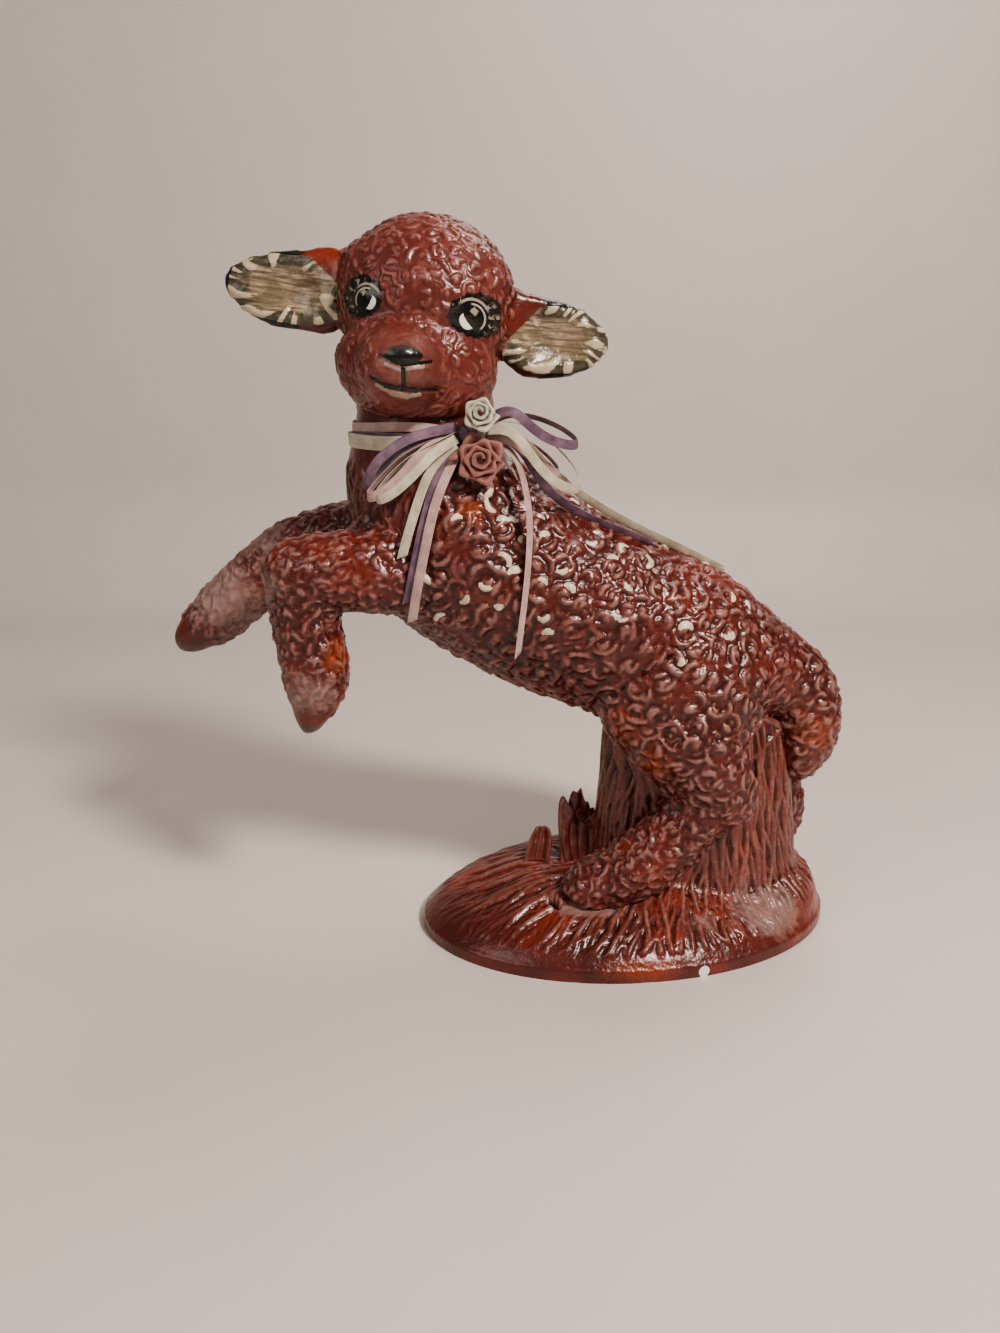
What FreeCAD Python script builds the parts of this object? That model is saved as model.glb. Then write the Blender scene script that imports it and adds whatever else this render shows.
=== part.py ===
import FreeCAD, Part
import math
import os
from FreeCAD import Placement, Rotation, Vector

# Rearing lamb ornament: glazed slip castings luted together on an oval base,
# with a bow of three narrow satin ribbons and two folded ribbon roses.
# Millimetres. +Z up, the lamb faces -X and turns its head to -Y.
# The origin is the middle of the base's flat underside.

SIZES = (
    ("figure_height", 254.0, "base underside to crown"),
    ("figure_length", 252.0, "right fore hoof to tail"),
    ("base_length", 160.0, "oval base, the long way"),
    ("base_width", 105.0, "oval base across its length"),
    ("base_turn", 9.0, "degrees that the oval is turned under the lamb"),
    ("rim_height", 4.0, "upright lip round the base"),
    ("mound_height", 21.0, "underside to the top of the grass mound"),
    ("casting_wall", 5.0, "wall of the hollow castings"),
    ("pour_hole_width", 22.0, "hole in the underside that slip drains from"),
    ("vent_length", 5.0, "firing vent in the mound"),
    ("vent_width", 2.2, "firing vent in the mound"),
    ("trunk_radius", 33.0, "fattest ring of the body"),
    ("neck_radius", 25.3, "neck at the middle of the bow"),
    ("skull_width", 58.0, "head across the temples"),
    ("skull_height", 53.0, "head from crown to jaw hinge"),
    ("skull_depth", 54.0, "head from brow to nape"),
    ("cheek_width", 53.0, "head across the cheeks"),
    ("cheek_height", 41.0, "head at the cheeks, top to bottom"),
    ("muzzle_width", 31.0, "muzzle across the lips"),
    ("muzzle_height", 28.0, "muzzle from bridge to chin"),
    ("muzzle_depth", 36.0, "muzzle from tip to root"),
    ("ear_width", 25.0, "ear at its widest"),
    ("ear_thickness", 9.0, "ear front to back"),
    ("foreleg_radius", 12.0, "foreleg below the knee"),
    ("haunch_width", 60.0, "haunch seen from the side"),
    ("haunch_depth", 40.0, "haunch from inside to outside"),
    ("shank_radius", 11.0, "hind leg below the hock"),
    ("tail_radius", 12.6, "tail at its fattest"),
    ("column_length", 76.0, "grass column along X"),
    ("column_width", 42.0, "grass column along Y"),
    ("leaf_radius", 3.4, "rolled leaf at its fattest"),
    ("tuft_width", 18.0, "spiky leaf at its foot"),
    ("tuft_thickness", 7.0, "spiky leaf at its foot"),
    ("ribbon_width", 3.2, "satin ribbon"),
    ("ribbon_thickness", 0.4, "satin ribbon"),
    ("ribbon_clearance", 0.3, "between the neck and the ribbons round it"),
    ("knot_width", 9.0, "knot of the bow along X"),
    ("knot_height", 8.4, "knot of the bow along Z"),
    ("knot_depth", 9.0, "knot of the bow along Y"),
    ("pink_rose_width", 15.7, "large ribbon rose"),
    ("white_rose_width", 9.6, "small ribbon rose"),
)

# The outline points below are drawn on a figure of this height, length and mound.
DRAWN_HEIGHT = 254.0
DRAWN_LENGTH = 252.0
DRAWN_MOUND = 21.0

doc = FreeCAD.newDocument("rearing_lamb_ornament")
sheet = doc.addObject("Spreadsheet::Sheet", "sizes")
for row, (alias, number, meaning) in enumerate(SIZES, start=1):
    sheet.set("A%d" % row, meaning)
    sheet.set("B%d" % row, "%g" % number)
    sheet.setAlias("B%d" % row, alias)
doc.recompute()


def size(alias):
    """The number that the sheet holds under a name."""
    return float(getattr(sheet, alias))


def along(x):
    """A length along the figure, which follows the overall length."""
    return "%g * sizes.figure_length / %g" % (x, DRAWN_LENGTH)


def above(z):
    """A height on the figure, which stretches from the mound to the crown."""
    stretch = "(sizes.figure_height - sizes.mound_height) / %g" % (DRAWN_HEIGHT - DRAWN_MOUND)
    return "sizes.mound_height + (%g) * %s" % (z - DRAWN_MOUND, stretch)


def along_now(x):
    return x * size("figure_length") / DRAWN_LENGTH


def above_now(z):
    stretch = (size("figure_height") - size("mound_height")) / (DRAWN_HEIGHT - DRAWN_MOUND)
    return size("mound_height") + (z - DRAWN_MOUND) * stretch


def put(item, x, y, z):
    """Tie an item's place to the sheet: x, y and z are formulas."""
    for axis, formula in zip("xyz", (x, y, z)):
        item.setExpression("Placement.Base." + axis, formula)


def on_figure(item, x, y, z):
    put(item, along(x), "%g" % y, above(z))


def turned(angle):
    """A turn about Y that leans +Z towards +X by an angle in degrees."""
    return Placement(Vector(0, 0, 0), Rotation(Vector(0, 1, 0), angle))


# ---------------------------------------------------------------- solid forms

def path_tilts(points):
    """Each point's lean from +Z, from the points before and after it."""
    tilts = []
    for index in range(len(points)):
        before = points[max(index - 1, 0)]
        after = points[min(index + 1, len(points) - 1)]
        run = along_now(after[0]) - along_now(before[0])
        rise = above_now(after[2]) - above_now(before[2])
        tilts.append(math.degrees(math.atan2(run, rise)))
    for index in range(1, len(tilts)):
        while tilts[index] - tilts[index - 1] > 180:
            tilts[index] -= 360
        while tilts[index] - tilts[index - 1] < -180:
            tilts[index] += 360
    return tilts


def limb(name, radius, rings):
    """A loft through round rings (x, y, z, share of the limb's radius)."""
    sections = []
    for ring, tilt in zip(rings, path_tilts(rings)):
        x, y, z, share = ring
        circle = doc.addObject("Part::Circle", name + "_ring")
        circle.Placement = turned(tilt)
        circle.setExpression("Radius", "sizes.%s * %g" % (radius, share))
        on_figure(circle, x, y, z)
        sections.append(circle)
    return loft(name, sections)


def blade(name, width, thickness, rings):
    """A loft through oval rings (x, y, z, share of width, share of thickness)."""
    sections = []
    for ring, tilt in zip(rings, path_tilts(rings)):
        x, y, z, wide, thick = ring
        oval = doc.addObject("Part::Ellipse", name + "_ring")
        oval.Placement = turned(tilt)
        oval.setExpression("MajorRadius", "sizes.%s / 2 * %g" % (width, wide))
        oval.setExpression("MinorRadius", "sizes.%s / 2 * %g" % (thickness, thick))
        on_figure(oval, x, y, z)
        sections.append(oval)
    return loft(name, sections)


def loft(name, sections):
    item = doc.addObject("Part::Loft", name)
    item.Sections = sections
    item.Solid = True
    item.Ruled = False
    return item


def oval_level(name, x, z, length, width, turn="0"):
    """A level oval: all five are formulas."""
    oval = doc.addObject("Part::Ellipse", name)
    oval.Placement = Placement(Vector(0, 0, 0), Rotation(Vector(0, 0, 1), 1))
    oval.setExpression("Placement.Rotation.Angle", turn)
    oval.setExpression("MajorRadius", "(%s) / 2" % length)
    oval.setExpression("MinorRadius", "(%s) / 2" % width)
    put(oval, x, "0", z)
    return oval


def egg(name, place, lean, wide, deep, tall):
    """An ellipsoid: place is (x, y, z), the three sizes are formulas."""
    item = doc.addObject("Part::Ellipsoid", name)
    item.Placement = turned(lean)
    item.setExpression("Radius2", "(%s) / 2" % wide)
    item.setExpression("Radius3", "(%s) / 2" % deep)
    item.setExpression("Radius1", "(%s) / 2" % tall)
    item.Angle1 = -90
    item.Angle2 = 90
    item.Angle3 = 360
    on_figure(item, *place)
    return item


def joint_ball(name, radius, share, place):
    """A ball that rounds the outside of a bent limb."""
    ball = doc.addObject("Part::Sphere", name)
    ball.setExpression("Radius", "sizes.%s * %g" % (radius, share))
    on_figure(ball, *place)
    return ball


def fused(name, items):
    item = doc.addObject("Part::MultiFuse", name)
    item.Shapes = items
    return item


def less(name, base, tools):
    """The base without the tools, one cut after another."""
    for tool in tools:
        item = doc.addObject("Part::Cut", name)
        item.Base = base
        item.Tool = tool
        base = item
    return base


PIECES = []


def piece(item, node):
    """Name a finished solid after its node."""
    item.Label = node
    PIECES.append(item)


# ----------------------------------------------------------------------- base

# Each level of the mound: share of its height, share of the base's oval.
MOUND_LEVELS = ((0.0, 0.985), (0.2, 0.95), (0.5, 0.83), (0.8, 0.64), (1.0, 0.36))
CAVITY_LEVELS = ((0.5, 0.83), (0.8, 0.64), (1.0, 0.36))
MOUND_RISE = "(sizes.mound_height - sizes.rim_height)"


def make_base():
    """The outside of the base, and the casting with its cavity and holes."""
    lip = doc.addObject("Part::Extrusion", "base_lip")
    lip.Base = oval_level("lip_oval", "0", "0", "sizes.base_length", "sizes.base_width",
                          "sizes.base_turn")
    lip.Dir = Vector(0, 0, 1)
    lip.Solid = True
    lip.DirMode = "Custom"
    lip.setExpression("LengthFwd", "sizes.rim_height")
    levels = []
    for rise, share in MOUND_LEVELS:
        height = "sizes.rim_height + %s * %g" % (MOUND_RISE, rise)
        length = "sizes.base_length * %g" % share
        width = "sizes.base_width * %g" % share
        levels.append(oval_level("mound_level", "0", height, length, width, "sizes.base_turn"))
    mound = loft("mound", levels)
    knoll = doc.addObject("Part::Ellipsoid", "knoll")
    knoll.setExpression("Radius2", "sizes.base_length * 0.17")
    knoll.setExpression("Radius3", "sizes.base_width * 0.32")
    knoll.setExpression("Radius1", "sizes.mound_height * 0.75")
    knoll.Angle1 = 0
    knoll.Angle2 = 90
    knoll.Angle3 = 360
    knoll.Placement = Placement(Vector(0, 0, 0), Rotation(Vector(0, 0, 1), 1))
    knoll.setExpression("Placement.Rotation.Angle", "sizes.base_turn")
    put(knoll, "sizes.base_length * 0.31 * cos(sizes.base_turn * 1 deg)",
        "sizes.base_length * 0.31 * sin(sizes.base_turn * 1 deg)", "sizes.mound_height * 0.42")
    outside = fused("base_outside", [lip, mound, knoll])

    inset = "- 2 * sizes.casting_wall"
    levels = [oval_level("cavity_floor", "0", "sizes.casting_wall",
                         "sizes.base_length * 0.92 " + inset, "sizes.base_width * 0.92 " + inset,
                         "sizes.base_turn")]
    for rise, share in CAVITY_LEVELS:
        height = "sizes.rim_height + %s * %g - sizes.casting_wall" % (MOUND_RISE, rise)
        length = "sizes.base_length * %g %s" % (share, inset)
        width = "sizes.base_width * %g %s" % (share, inset)
        levels.append(oval_level("cavity_level", "0", height, length, width, "sizes.base_turn"))
    cavity = loft("base_cavity", levels)
    pour_hole = doc.addObject("Part::Cylinder", "pour_hole")
    pour_hole.setExpression("Radius", "sizes.pour_hole_width / 2")
    pour_hole.setExpression("Height", "sizes.casting_wall * 2")
    put(pour_hole, "sizes.base_length * 0.22", "0", "-sizes.casting_wall / 2")
    vent = doc.addObject("Part::Box", "vent")
    vent.setExpression("Length", "sizes.vent_length")
    vent.setExpression("Width", "sizes.vent_width")
    vent.setExpression("Height", "sizes.mound_height")
    put(vent, along(-32.5), "-31", "sizes.mound_height / 2")
    casting = less("base_shell", outside, [cavity, pour_hole, vent])
    piece(casting, "base_casting")
    return outside


# ---------------------------------------------------------------- body castings

TRUNK_RINGS = (
    (61.5, 0, 97.0, 0.26),
    (53.0, 0, 98.5, 0.52),
    (41.8, 0, 100.6, 0.70),
    (24.9, 0, 104.4, 0.92),
    (2.3, 0, 113.2, 1.0),
    (-21.8, 0, 122.6, 1.03),
    (-45.6, 0, 134.6, 1.05),
    (-66.0, 0, 150.0, 1.03),
    (-72.0, -1, 166.4, 0.95),
)
# The neck's rings lie level. Each is a share of the neck's own radius.
NECK_RINGS = (
    (-74.2, -2.6, 176.0, 1.10),
    (-74.5, -3, 180.0, 1.045),
    (-74.8, -3, 188.0, 0.955),
    (-74.8, -5, 197.0, 0.90),
    (-74.4, -7, 206.0, 0.85),
)


def trunk_form(name, shrink):
    """The trunk and neck in one loft, its rings smaller by a formula."""
    rings = TRUNK_RINGS + NECK_RINGS
    tilts = path_tilts(rings)
    sections = []
    for index, (x, y, z, share) in enumerate(rings):
        on_trunk = index < len(TRUNK_RINGS)
        radius = "trunk_radius" if on_trunk else "neck_radius"
        tilt = tilts[index] if on_trunk else 0
        circle = doc.addObject("Part::Circle", name + "_ring")
        circle.Placement = turned(tilt)
        circle.setExpression("Radius", "sizes.%s * %g - %s" % (radius, share, shrink))
        on_figure(circle, x, y, z)
        sections.append(circle)
    return sections


def make_trunk():
    """The body casting with its cavity; returns the outside for the cuts."""
    outside = loft("trunk_outside", trunk_form("trunk", "0"))
    inner = trunk_form("trunk_cavity", "sizes.casting_wall")[2:-1]
    cavity = loft("trunk_cavity", inner)
    piece(less("trunk_shell", outside, [cavity]), "body_casting")
    return outside


def make_head(trunk):
    """The head casting, leaning towards +X; returns its outside."""
    skull = egg("skull", (-73.0, -8, 227.4), 8,
                "sizes.skull_width", "sizes.skull_depth", "sizes.skull_height")
    cheeks = egg("cheeks", (-76.4, -17, 207.2), 8,
                 "sizes.cheek_width", "sizes.skull_depth * 0.76", "sizes.cheek_height")
    muzzle = egg("muzzle", (-79.5, -29, 206.0), 8,
                 "sizes.muzzle_width", "sizes.muzzle_depth", "sizes.muzzle_height")
    outside = fused("head_outside", [skull, cheeks, muzzle])
    wall = "- 2 * sizes.casting_wall"
    cavity = egg("head_cavity", (-73.0, -8, 227.4), 8, "sizes.skull_width " + wall,
                 "sizes.skull_depth " + wall, "sizes.skull_height " + wall)
    piece(less("head_shell", outside, [trunk, cavity]), "head_casting")
    return outside


LEFT_EAR_RINGS = (
    (-95.0, -8, 231.0, 0.50, 0.9),
    (-104.0, -8, 230.6, 0.78, 1.0),
    (-113.0, -7, 230.4, 0.98, 1.0),
    (-122.0, -6, 231.0, 1.0, 0.95),
    (-131.5, -5, 232.8, 0.76, 0.8),
    (-138.5, -4, 234.6, 0.40, 0.55),
    (-141.5, -3, 235.6, 0.12, 0.25),
)
RIGHT_EAR_RINGS = (
    (-51.0, -8, 218.0, 0.50, 0.9),
    (-44.5, -8, 216.8, 0.74, 1.0),
    (-36.5, -7, 215.4, 0.96, 1.0),
    (-28.5, -6, 214.8, 1.0, 0.95),
    (-20.5, -5, 214.4, 0.80, 0.8),
    (-14.5, -4, 214.2, 0.44, 0.55),
    (-12.0, -3, 214.2, 0.14, 0.25),
)


def make_ear(node, rings, head):
    """An ear cupped towards -Y, cut where it is luted to the head."""
    form = blade(node + "_form", "ear_width", "ear_thickness", rings)
    x, y, z = rings[3][:3]
    lean = path_tilts(rings)[3]
    cup = egg(node + "_cup", (x, y - 5.2, z), lean,
              "sizes.ear_width * 0.7", "sizes.ear_thickness", "sizes.ear_width * 1.1")
    piece(less(node + "_cut", form, [head, cup]), node)


LEFT_FORE_UPPER = (
    (-66.0, -14, 139.0, 1.05),
    (-83.0, -22, 139.5, 1.22),
    (-100.0, -24, 140.4, 1.12),
    (-117.5, -24, 139.6, 1.0),
)
LEFT_FORE_LOWER = (
    (-117.2, -24, 86.4, 0.14),
    (-115.4, -24, 91.0, 0.56),
    (-113.4, -24, 97.0, 0.84),
    (-114.0, -24, 112.5, 0.98),
    (-116.4, -24, 127.0, 0.96),
    (-117.5, -24, 139.6, 0.90),
)
RIGHT_FORE_UPPER = (
    (-74.0, 14, 148.0, 1.05),
    (-92.0, 17, 146.4, 1.2),
    (-112.0, 18, 144.4, 1.1),
    (-129.0, 18, 139.6, 0.98),
)
RIGHT_FORE_LOWER = (
    (-171.8, 18, 104.6, 0.14),
    (-168.0, 18, 107.6, 0.50),
    (-162.4, 18, 111.8, 0.78),
    (-150.8, 18, 121.6, 0.94),
    (-139.8, 18, 131.4, 0.95),
    (-129.0, 18, 139.6, 0.90),
)


def make_foreleg(node, upper, lower, trunk):
    """A foreleg of two lofts and a round knee; returns its outside."""
    arm = limb(node + "_upper", "foreleg_radius", upper)
    shin = limb(node + "_lower", "foreleg_radius", lower)
    knee = joint_ball(node + "_knee", "foreleg_radius", 1.0, upper[-1][:3])
    outside = fused(node + "_form", [arm, knee, shin])
    piece(less(node + "_cut", outside, [trunk]), node)
    return outside


LEFT_THIGH = (
    (13.0, -20, 86.0, 1.9),
    (21.0, -22, 74.0, 1.66),
    (30.6, -24, 58.7, 1.14),
)
LEFT_SHANK = (
    (-24.8, -25, 18.8, 0.46),
    (-20.6, -25, 20.2, 0.78),
    (-11.0, -25, 24.6, 1.0),
    (5.7, -25, 35.1, 1.10),
    (18.0, -24, 47.0, 1.06),
    (30.6, -24, 58.7, 1.06),
)
RIGHT_THIGH = (
    (22.0, 20, 84.0, 1.8),
    (38.0, 22, 72.0, 1.5),
    (54.0, 21, 60.0, 0.98),
)
RIGHT_SHANK = (
    (52.0, 20, 16.0, 0.50),
    (58.0, 20, 19.6, 0.66),
    (66.0, 19, 29.0, 0.64),
    (64.0, 20, 45.0, 0.78),
    (54.0, 21, 60.0, 0.92),
)


def make_hind_leg(node, side, thigh, shank, others):
    """A hind leg with its haunch; side is -1 for the left and 1 for the right."""
    haunch = egg(node + "_haunch", (14.8, side * 17, 96.3), 0,
                 "sizes.haunch_width", "sizes.haunch_depth", "sizes.haunch_width")
    upper = limb(node + "_thigh", "shank_radius", thigh)
    lower = limb(node + "_shank", "shank_radius", shank)
    hock = joint_ball(node + "_hock", "shank_radius", thigh[-1][3], thigh[-1][:3])
    outside = fused(node + "_form", [haunch, upper, hock, lower])
    piece(less(node + "_cut", outside, others), node)
    return outside


TAIL_RINGS = (
    (62.0, 0, 56.0, 0.34),
    (62.6, 0, 62.0, 0.76),
    (65.0, 0, 76.0, 1.04),
    (61.8, 0, 92.0, 1.08),
    (51.0, 0, 102.6, 0.94),
    (40.0, 0, 107.0, 0.7),
)
ROLLED_LEAF_RINGS = (
    (-36.6, 1, 10.0, 1.0),
    (-35.6, 1, 20.0, 0.95),
    (-34.4, 3, 28.0, 0.7),
    (-33.4, 4, 33.0, 0.2),
)
TUFT_RINGS = (
    (-8.0, 4, 12.0, 1.0, 1.0),
    (-11.0, 6, 27.0, 0.86, 0.8),
    (-15.4, 8, 39.0, 0.5, 0.6),
    (-19.6, 10, 48.6, 0.1, 0.2),
)
# The grass column's levels: x, z and its share of length and of width.
COLUMN_LEVELS = (
    (26.5, 8.0, 1.06, 1.1),
    (26.0, 30.0, 1.0, 1.0),
    (25.0, 62.0, 0.92, 0.92),
    (22.0, 104.0, 0.80, 0.90),
)


def make_column(others):
    levels = []
    for x, z, long, wide in COLUMN_LEVELS:
        length = "sizes.column_length * %g" % long
        width = "sizes.column_width * %g" % wide
        levels.append(oval_level("column_level", along(x), above(z), length, width))
    outside = loft("column_outside", levels)
    piece(less("column_cut", outside, others), "grass_column")
    return outside


# --------------------------------------------------------- bow, ribbons and roses

# A band of ribbon round the neck: its node and the height of its middle.
COLLARS = (("collar_pink", 187.4), ("collar_lilac", 184.0), ("collar_cream", 180.6))
# The neck's middle at the bow, and the height of the knot.
BOW_X = -74.65
BOW_Y = -3.0
BOW_Z = 185.2


def collar_radius(z):
    """The neck's radius at a height, on the line between the rings below and above the bow."""
    low, high = NECK_RINGS[1], NECK_RINGS[2]
    share = low[3] + (z - low[2]) * (high[3] - low[3]) / (high[2] - low[2])
    return "sizes.neck_radius * %.4f + sizes.ribbon_clearance" % share


def make_collar(node, z):
    """One turn of ribbon: a slightly conical band that clears the neck."""
    rings = []
    for name, extra in (("outside", "+ sizes.ribbon_thickness"), ("inside", "")):
        cone = doc.addObject("Part::Cone", node + "_" + name)
        cone.setExpression("Radius1", collar_radius(z - size("ribbon_width") / 2) + extra)
        cone.setExpression("Radius2", collar_radius(z + size("ribbon_width") / 2) + extra)
        cone.setExpression("Height", "sizes.ribbon_width")
        cone.Angle = 360
        put(cone, along(BOW_X), "%g" % BOW_Y, above(z) + " - sizes.ribbon_width / 2")
        rings.append(cone)
    return less(node + "_band", rings[0], [rings[1]])


def at_bow(item, offset):
    """Put an item at an offset from the neck's middle at the bow."""
    x, y, z = offset
    put(item, "%s + (%g)" % (along(BOW_X), x), "%g" % (BOW_Y + y), "%s + (%g)" % (above(BOW_Z), z))


def make_knot():
    knot = egg("knot", (BOW_X, BOW_Y, BOW_Z), 12,
               "sizes.knot_width", "sizes.knot_depth", "sizes.knot_height")
    at_bow(knot, (16.25, -23.2, 0))
    return knot


def make_rose(node, offset, width, others):
    """A folded ribbon rose: a low bud facing -Y on a wider ring of petals."""
    petals = doc.addObject("Part::Cone", node + "_petals")
    petals.setExpression("Radius1", "sizes.%s * 0.36" % width)
    petals.setExpression("Radius2", "sizes.%s * 0.5" % width)
    petals.setExpression("Height", "sizes.%s * 0.3" % width)
    petals.Placement = Placement(Vector(0, 0, 0), Rotation(Vector(1, 0, 0), 90))
    at_bow(petals, offset)
    bud = egg(node + "_bud", (BOW_X, BOW_Y, BOW_Z), 0, "sizes.%s * 0.8" % width,
              "sizes.%s * 0.85" % width, "sizes.%s * 0.8" % width)
    at_bow(bud, offset)
    form = fused(node + "_form", [petals, bud])
    piece(less(node + "_cut", form, others), node)
    return form


# Each free ribbon: its points from the knot outwards, and the way its width lies.
RIBBONS = {
    "tail_left_cream": (
        ((-63.6, -30.0, 182.4), (-69.0, -31.0, 178.0), (-73.2, -33.0, 171.0), (-76.2, -35.0, 162.6),
         (-79.3, -36.2, 153.0), (-81.5, -36.9, 144.7)), (1.0, 0.0, 0.35)),
    "tail_left_lilac": (
        ((-63.4, -30.0, 181.6), (-67.2, -31.8, 175.0), (-70.8, -34.4, 168.0), (-73.0, -36.8, 160.0),
         (-75.4, -37.6, 150.6), (-77.6, -37.4, 140.4), (-80.2, -36.0, 129.6)), (1.0, 0.0, 0.3)),
    "tail_left_pink": (
        ((-62.4, -29.8, 180.8), (-65.6, -32.8, 174.4), (-68.6, -36.4, 167.6), (-71.0, -38.8, 160.0),
         (-73.2, -39.6, 150.0), (-75.4, -39.4, 140.0), (-77.2, -38.6, 131.0), (-78.4, -37.4, 123.5)),
        (1.0, 0.0, 0.25)),
    "tail_right_pink": (
        ((-53.6, -24.6, 182.6), (-47.6, -26.6, 182.2), (-43.6, -28.2, 177.4), (-41.0, -31.0, 169.4),
         (-39.4, -33.6, 159.0), (-39.7, -35.4, 147.6), (-40.7, -36.2, 135.6), (-42.2, -36.2, 123.0),
         (-43.5, -35.8, 111.5)), (1.0, 0.0, 0.0)),
    "tail_back_cream": (
        ((-53.8, -24.8, 187.0), (-46.4, -25.2, 187.0), (-40.0, -22.6, 181.6), (-33.0, -18.4, 173.6),
         (-22.8, -13.0, 165.4), (-10.4, -8.6, 157.4), (4.4, -6.0, 149.8), (19.5, -3.6, 142.9),
         (33.5, -1.2, 135.4)), (0.35, -0.75, 0.55)),
    "tail_back_lilac": (
        ((-53.8, -22.6, 183.4), (-47.2, -24.2, 184.2), (-41.2, -24.2, 179.4), (-36.6, -22.6, 171.0),
         (-29.6, -20.0, 163.4), (-19.3, -16.0, 157.2), (-7.0, -13.2, 152.0), (6.0, -11.8, 146.9)),
        (0.35, -0.75, 0.55)),
    "loop_right_lilac": (
        ((-53.6, -27.0, 189.2), (-49.0, -28.4, 192.6), (-44.2, -29.6, 192.4), (-39.6, -30.4, 188.0),
         (-34.4, -30.6, 184.2), (-28.6, -29.8, 182.2), (-24.2, -27.4, 181.8), (-24.0, -25.0, 183.4),
         (-28.8, -23.4, 187.0), (-35.2, -22.6, 189.8), (-42.0, -22.4, 191.4), (-48.4, -23.0, 190.8),
         (-53.0, -24.2, 188.2)), (0.25, 0.0, 1.0)),
    "loop_right_cream": (
        ((-53.4, -28.6, 186.6), (-48.2, -29.8, 187.4), (-43.2, -30.6, 184.4), (-39.4, -30.4, 179.0),
         (-35.2, -29.6, 173.6), (-30.0, -28.2, 169.2), (-24.6, -26.2, 167.2), (-22.0, -22.8, 169.0),
         (-24.2, -20.0, 174.4), (-29.4, -18.6, 180.0), (-36.0, -18.4, 185.4), (-43.4, -19.4, 189.2),
         (-50.6, -21.6, 189.0)), (0.62, 0.0, 0.78)),
    "loop_right_pink": (
        ((-53.6, -27.0, 184.2), (-48.6, -28.0, 184.6), (-43.8, -27.6, 182.4), (-39.6, -26.4, 179.0),
         (-35.6, -25.0, 175.4), (-31.2, -23.2, 172.4), (-29.2, -20.8, 172.8), (-32.0, -19.2, 176.8),
         (-36.8, -19.2, 180.8), (-42.4, -20.2, 184.0), (-48.8, -21.4, 185.2), (-53.6, -22.8, 185.6)),
        (0.55, 0.0, 0.83)),
    "loop_left_pink": (
        ((-63.8, -27.2, 184.6), (-70.0, -31.2, 183.0), (-75.6, -33.2, 178.4), (-80.4, -34.4, 172.8),
         (-85.6, -35.0, 168.2), (-90.6, -34.2, 165.6), (-92.6, -31.6, 166.0), (-90.0, -29.8, 169.4),
         (-85.6, -30.0, 173.9), (-80.0, -30.6, 178.8), (-73.0, -30.4, 182.2), (-64.0, -27.0, 186.6)),
        (0.66, 0.0, -0.75)),
    "loop_left_lilac": (
        ((-63.4, -27.8, 187.6), (-70.4, -31.8, 186.4), (-77.4, -32.8, 184.6), (-84.2, -33.0, 181.0),
         (-89.6, -32.4, 175.8), (-92.6, -31.2, 169.8), (-92.4, -29.2, 167.6), (-89.2, -28.6, 171.5),
         (-84.8, -30.0, 177.2), (-78.5, -30.7, 181.7), (-70.9, -30.0, 184.8), (-63.4, -26.6, 187.6)),
        (0.5, 0.0, -0.86)),
    "loop_left_cream": (
        ((-63.2, -29.4, 184.0), (-69.6, -34.0, 180.4), (-74.4, -36.0, 175.4), (-79.0, -36.8, 170.8),
         (-84.0, -36.6, 166.8), (-88.4, -35.2, 164.8), (-89.6, -32.4, 166.4), (-86.8, -31.2, 170.4),
         (-82.4, -31.2, 174.8), (-77.0, -31.6, 179.0), (-70.6, -31.6, 182.2), (-63.8, -27.4, 185.4)),
        (0.66, 0.0, -0.75)),
}
ARC_SHARE = 0.45


def rounded_path(points):
    """Straight runs joined by arcs as large as the two runs at each bend allow."""
    spots = [Vector(*point) for point in points]
    edges = []
    radii = []
    start = spots[0]
    for before, corner, after in zip(spots, spots[1:], spots[2:]):
        back = (before - corner).normalize()
        ahead = (after - corner).normalize()
        turn = math.pi - back.getAngle(ahead)
        reach = ARC_SHARE * min((before - corner).Length, (after - corner).Length)
        radius = reach / math.tan(turn / 2)
        arc_start = corner + back * reach
        arc_end = corner + ahead * reach
        inward = (back + ahead).normalize()
        middle = corner + inward * (radius / math.cos(turn / 2) - radius)
        edges.append(Part.LineSegment(start, arc_start).toShape())
        edges.append(Part.Arc(arc_start, middle, arc_end).toShape())
        radii.append(radius)
        start = arc_end
    edges.append(Part.LineSegment(start, spots[-1]).toShape())
    return Part.Wire(edges), radii


def make_ribbon(node, others):
    """A flat strip swept along a ribbon's path."""
    points, across = RIBBONS[node]
    path, radii = rounded_path(points)
    first = Vector(*points[0])
    forward = (Vector(*points[1]) - first).normalize()
    wide = Vector(*across)
    wide = (wide - forward * wide.dot(forward)).normalize()
    thick = forward.cross(wide)
    half = wide * (size("ribbon_width") / 2)
    rise = thick * (size("ribbon_thickness") / 2)
    corners = [first + half + rise, first + half - rise, first - half - rise, first - half + rise]
    section = Part.makePolygon(corners + corners[:1])
    sweep = Part.BRepOffsetAPI.MakePipeShell(path)
    sweep.setFrenetMode(False)
    sweep.add(section)
    sweep.setTransitionMode(0)
    sweep.build()
    sweep.makeSolid()
    strip = doc.addObject("Part::Feature", node + "_strip")
    strip.Shape = sweep.shape()
    whole = path.Length * size("ribbon_width") * size("ribbon_thickness")
    print("%s length %.1f, volume %.3f of section times length, radii %s" % (
        node, path.Length, strip.Shape.Volume / whole, " ".join("%.1f" % radius for radius in radii)))
    piece(less(node + "_cut", strip, others), node)


# ---------------------------------------------------------------------- assembly

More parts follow.
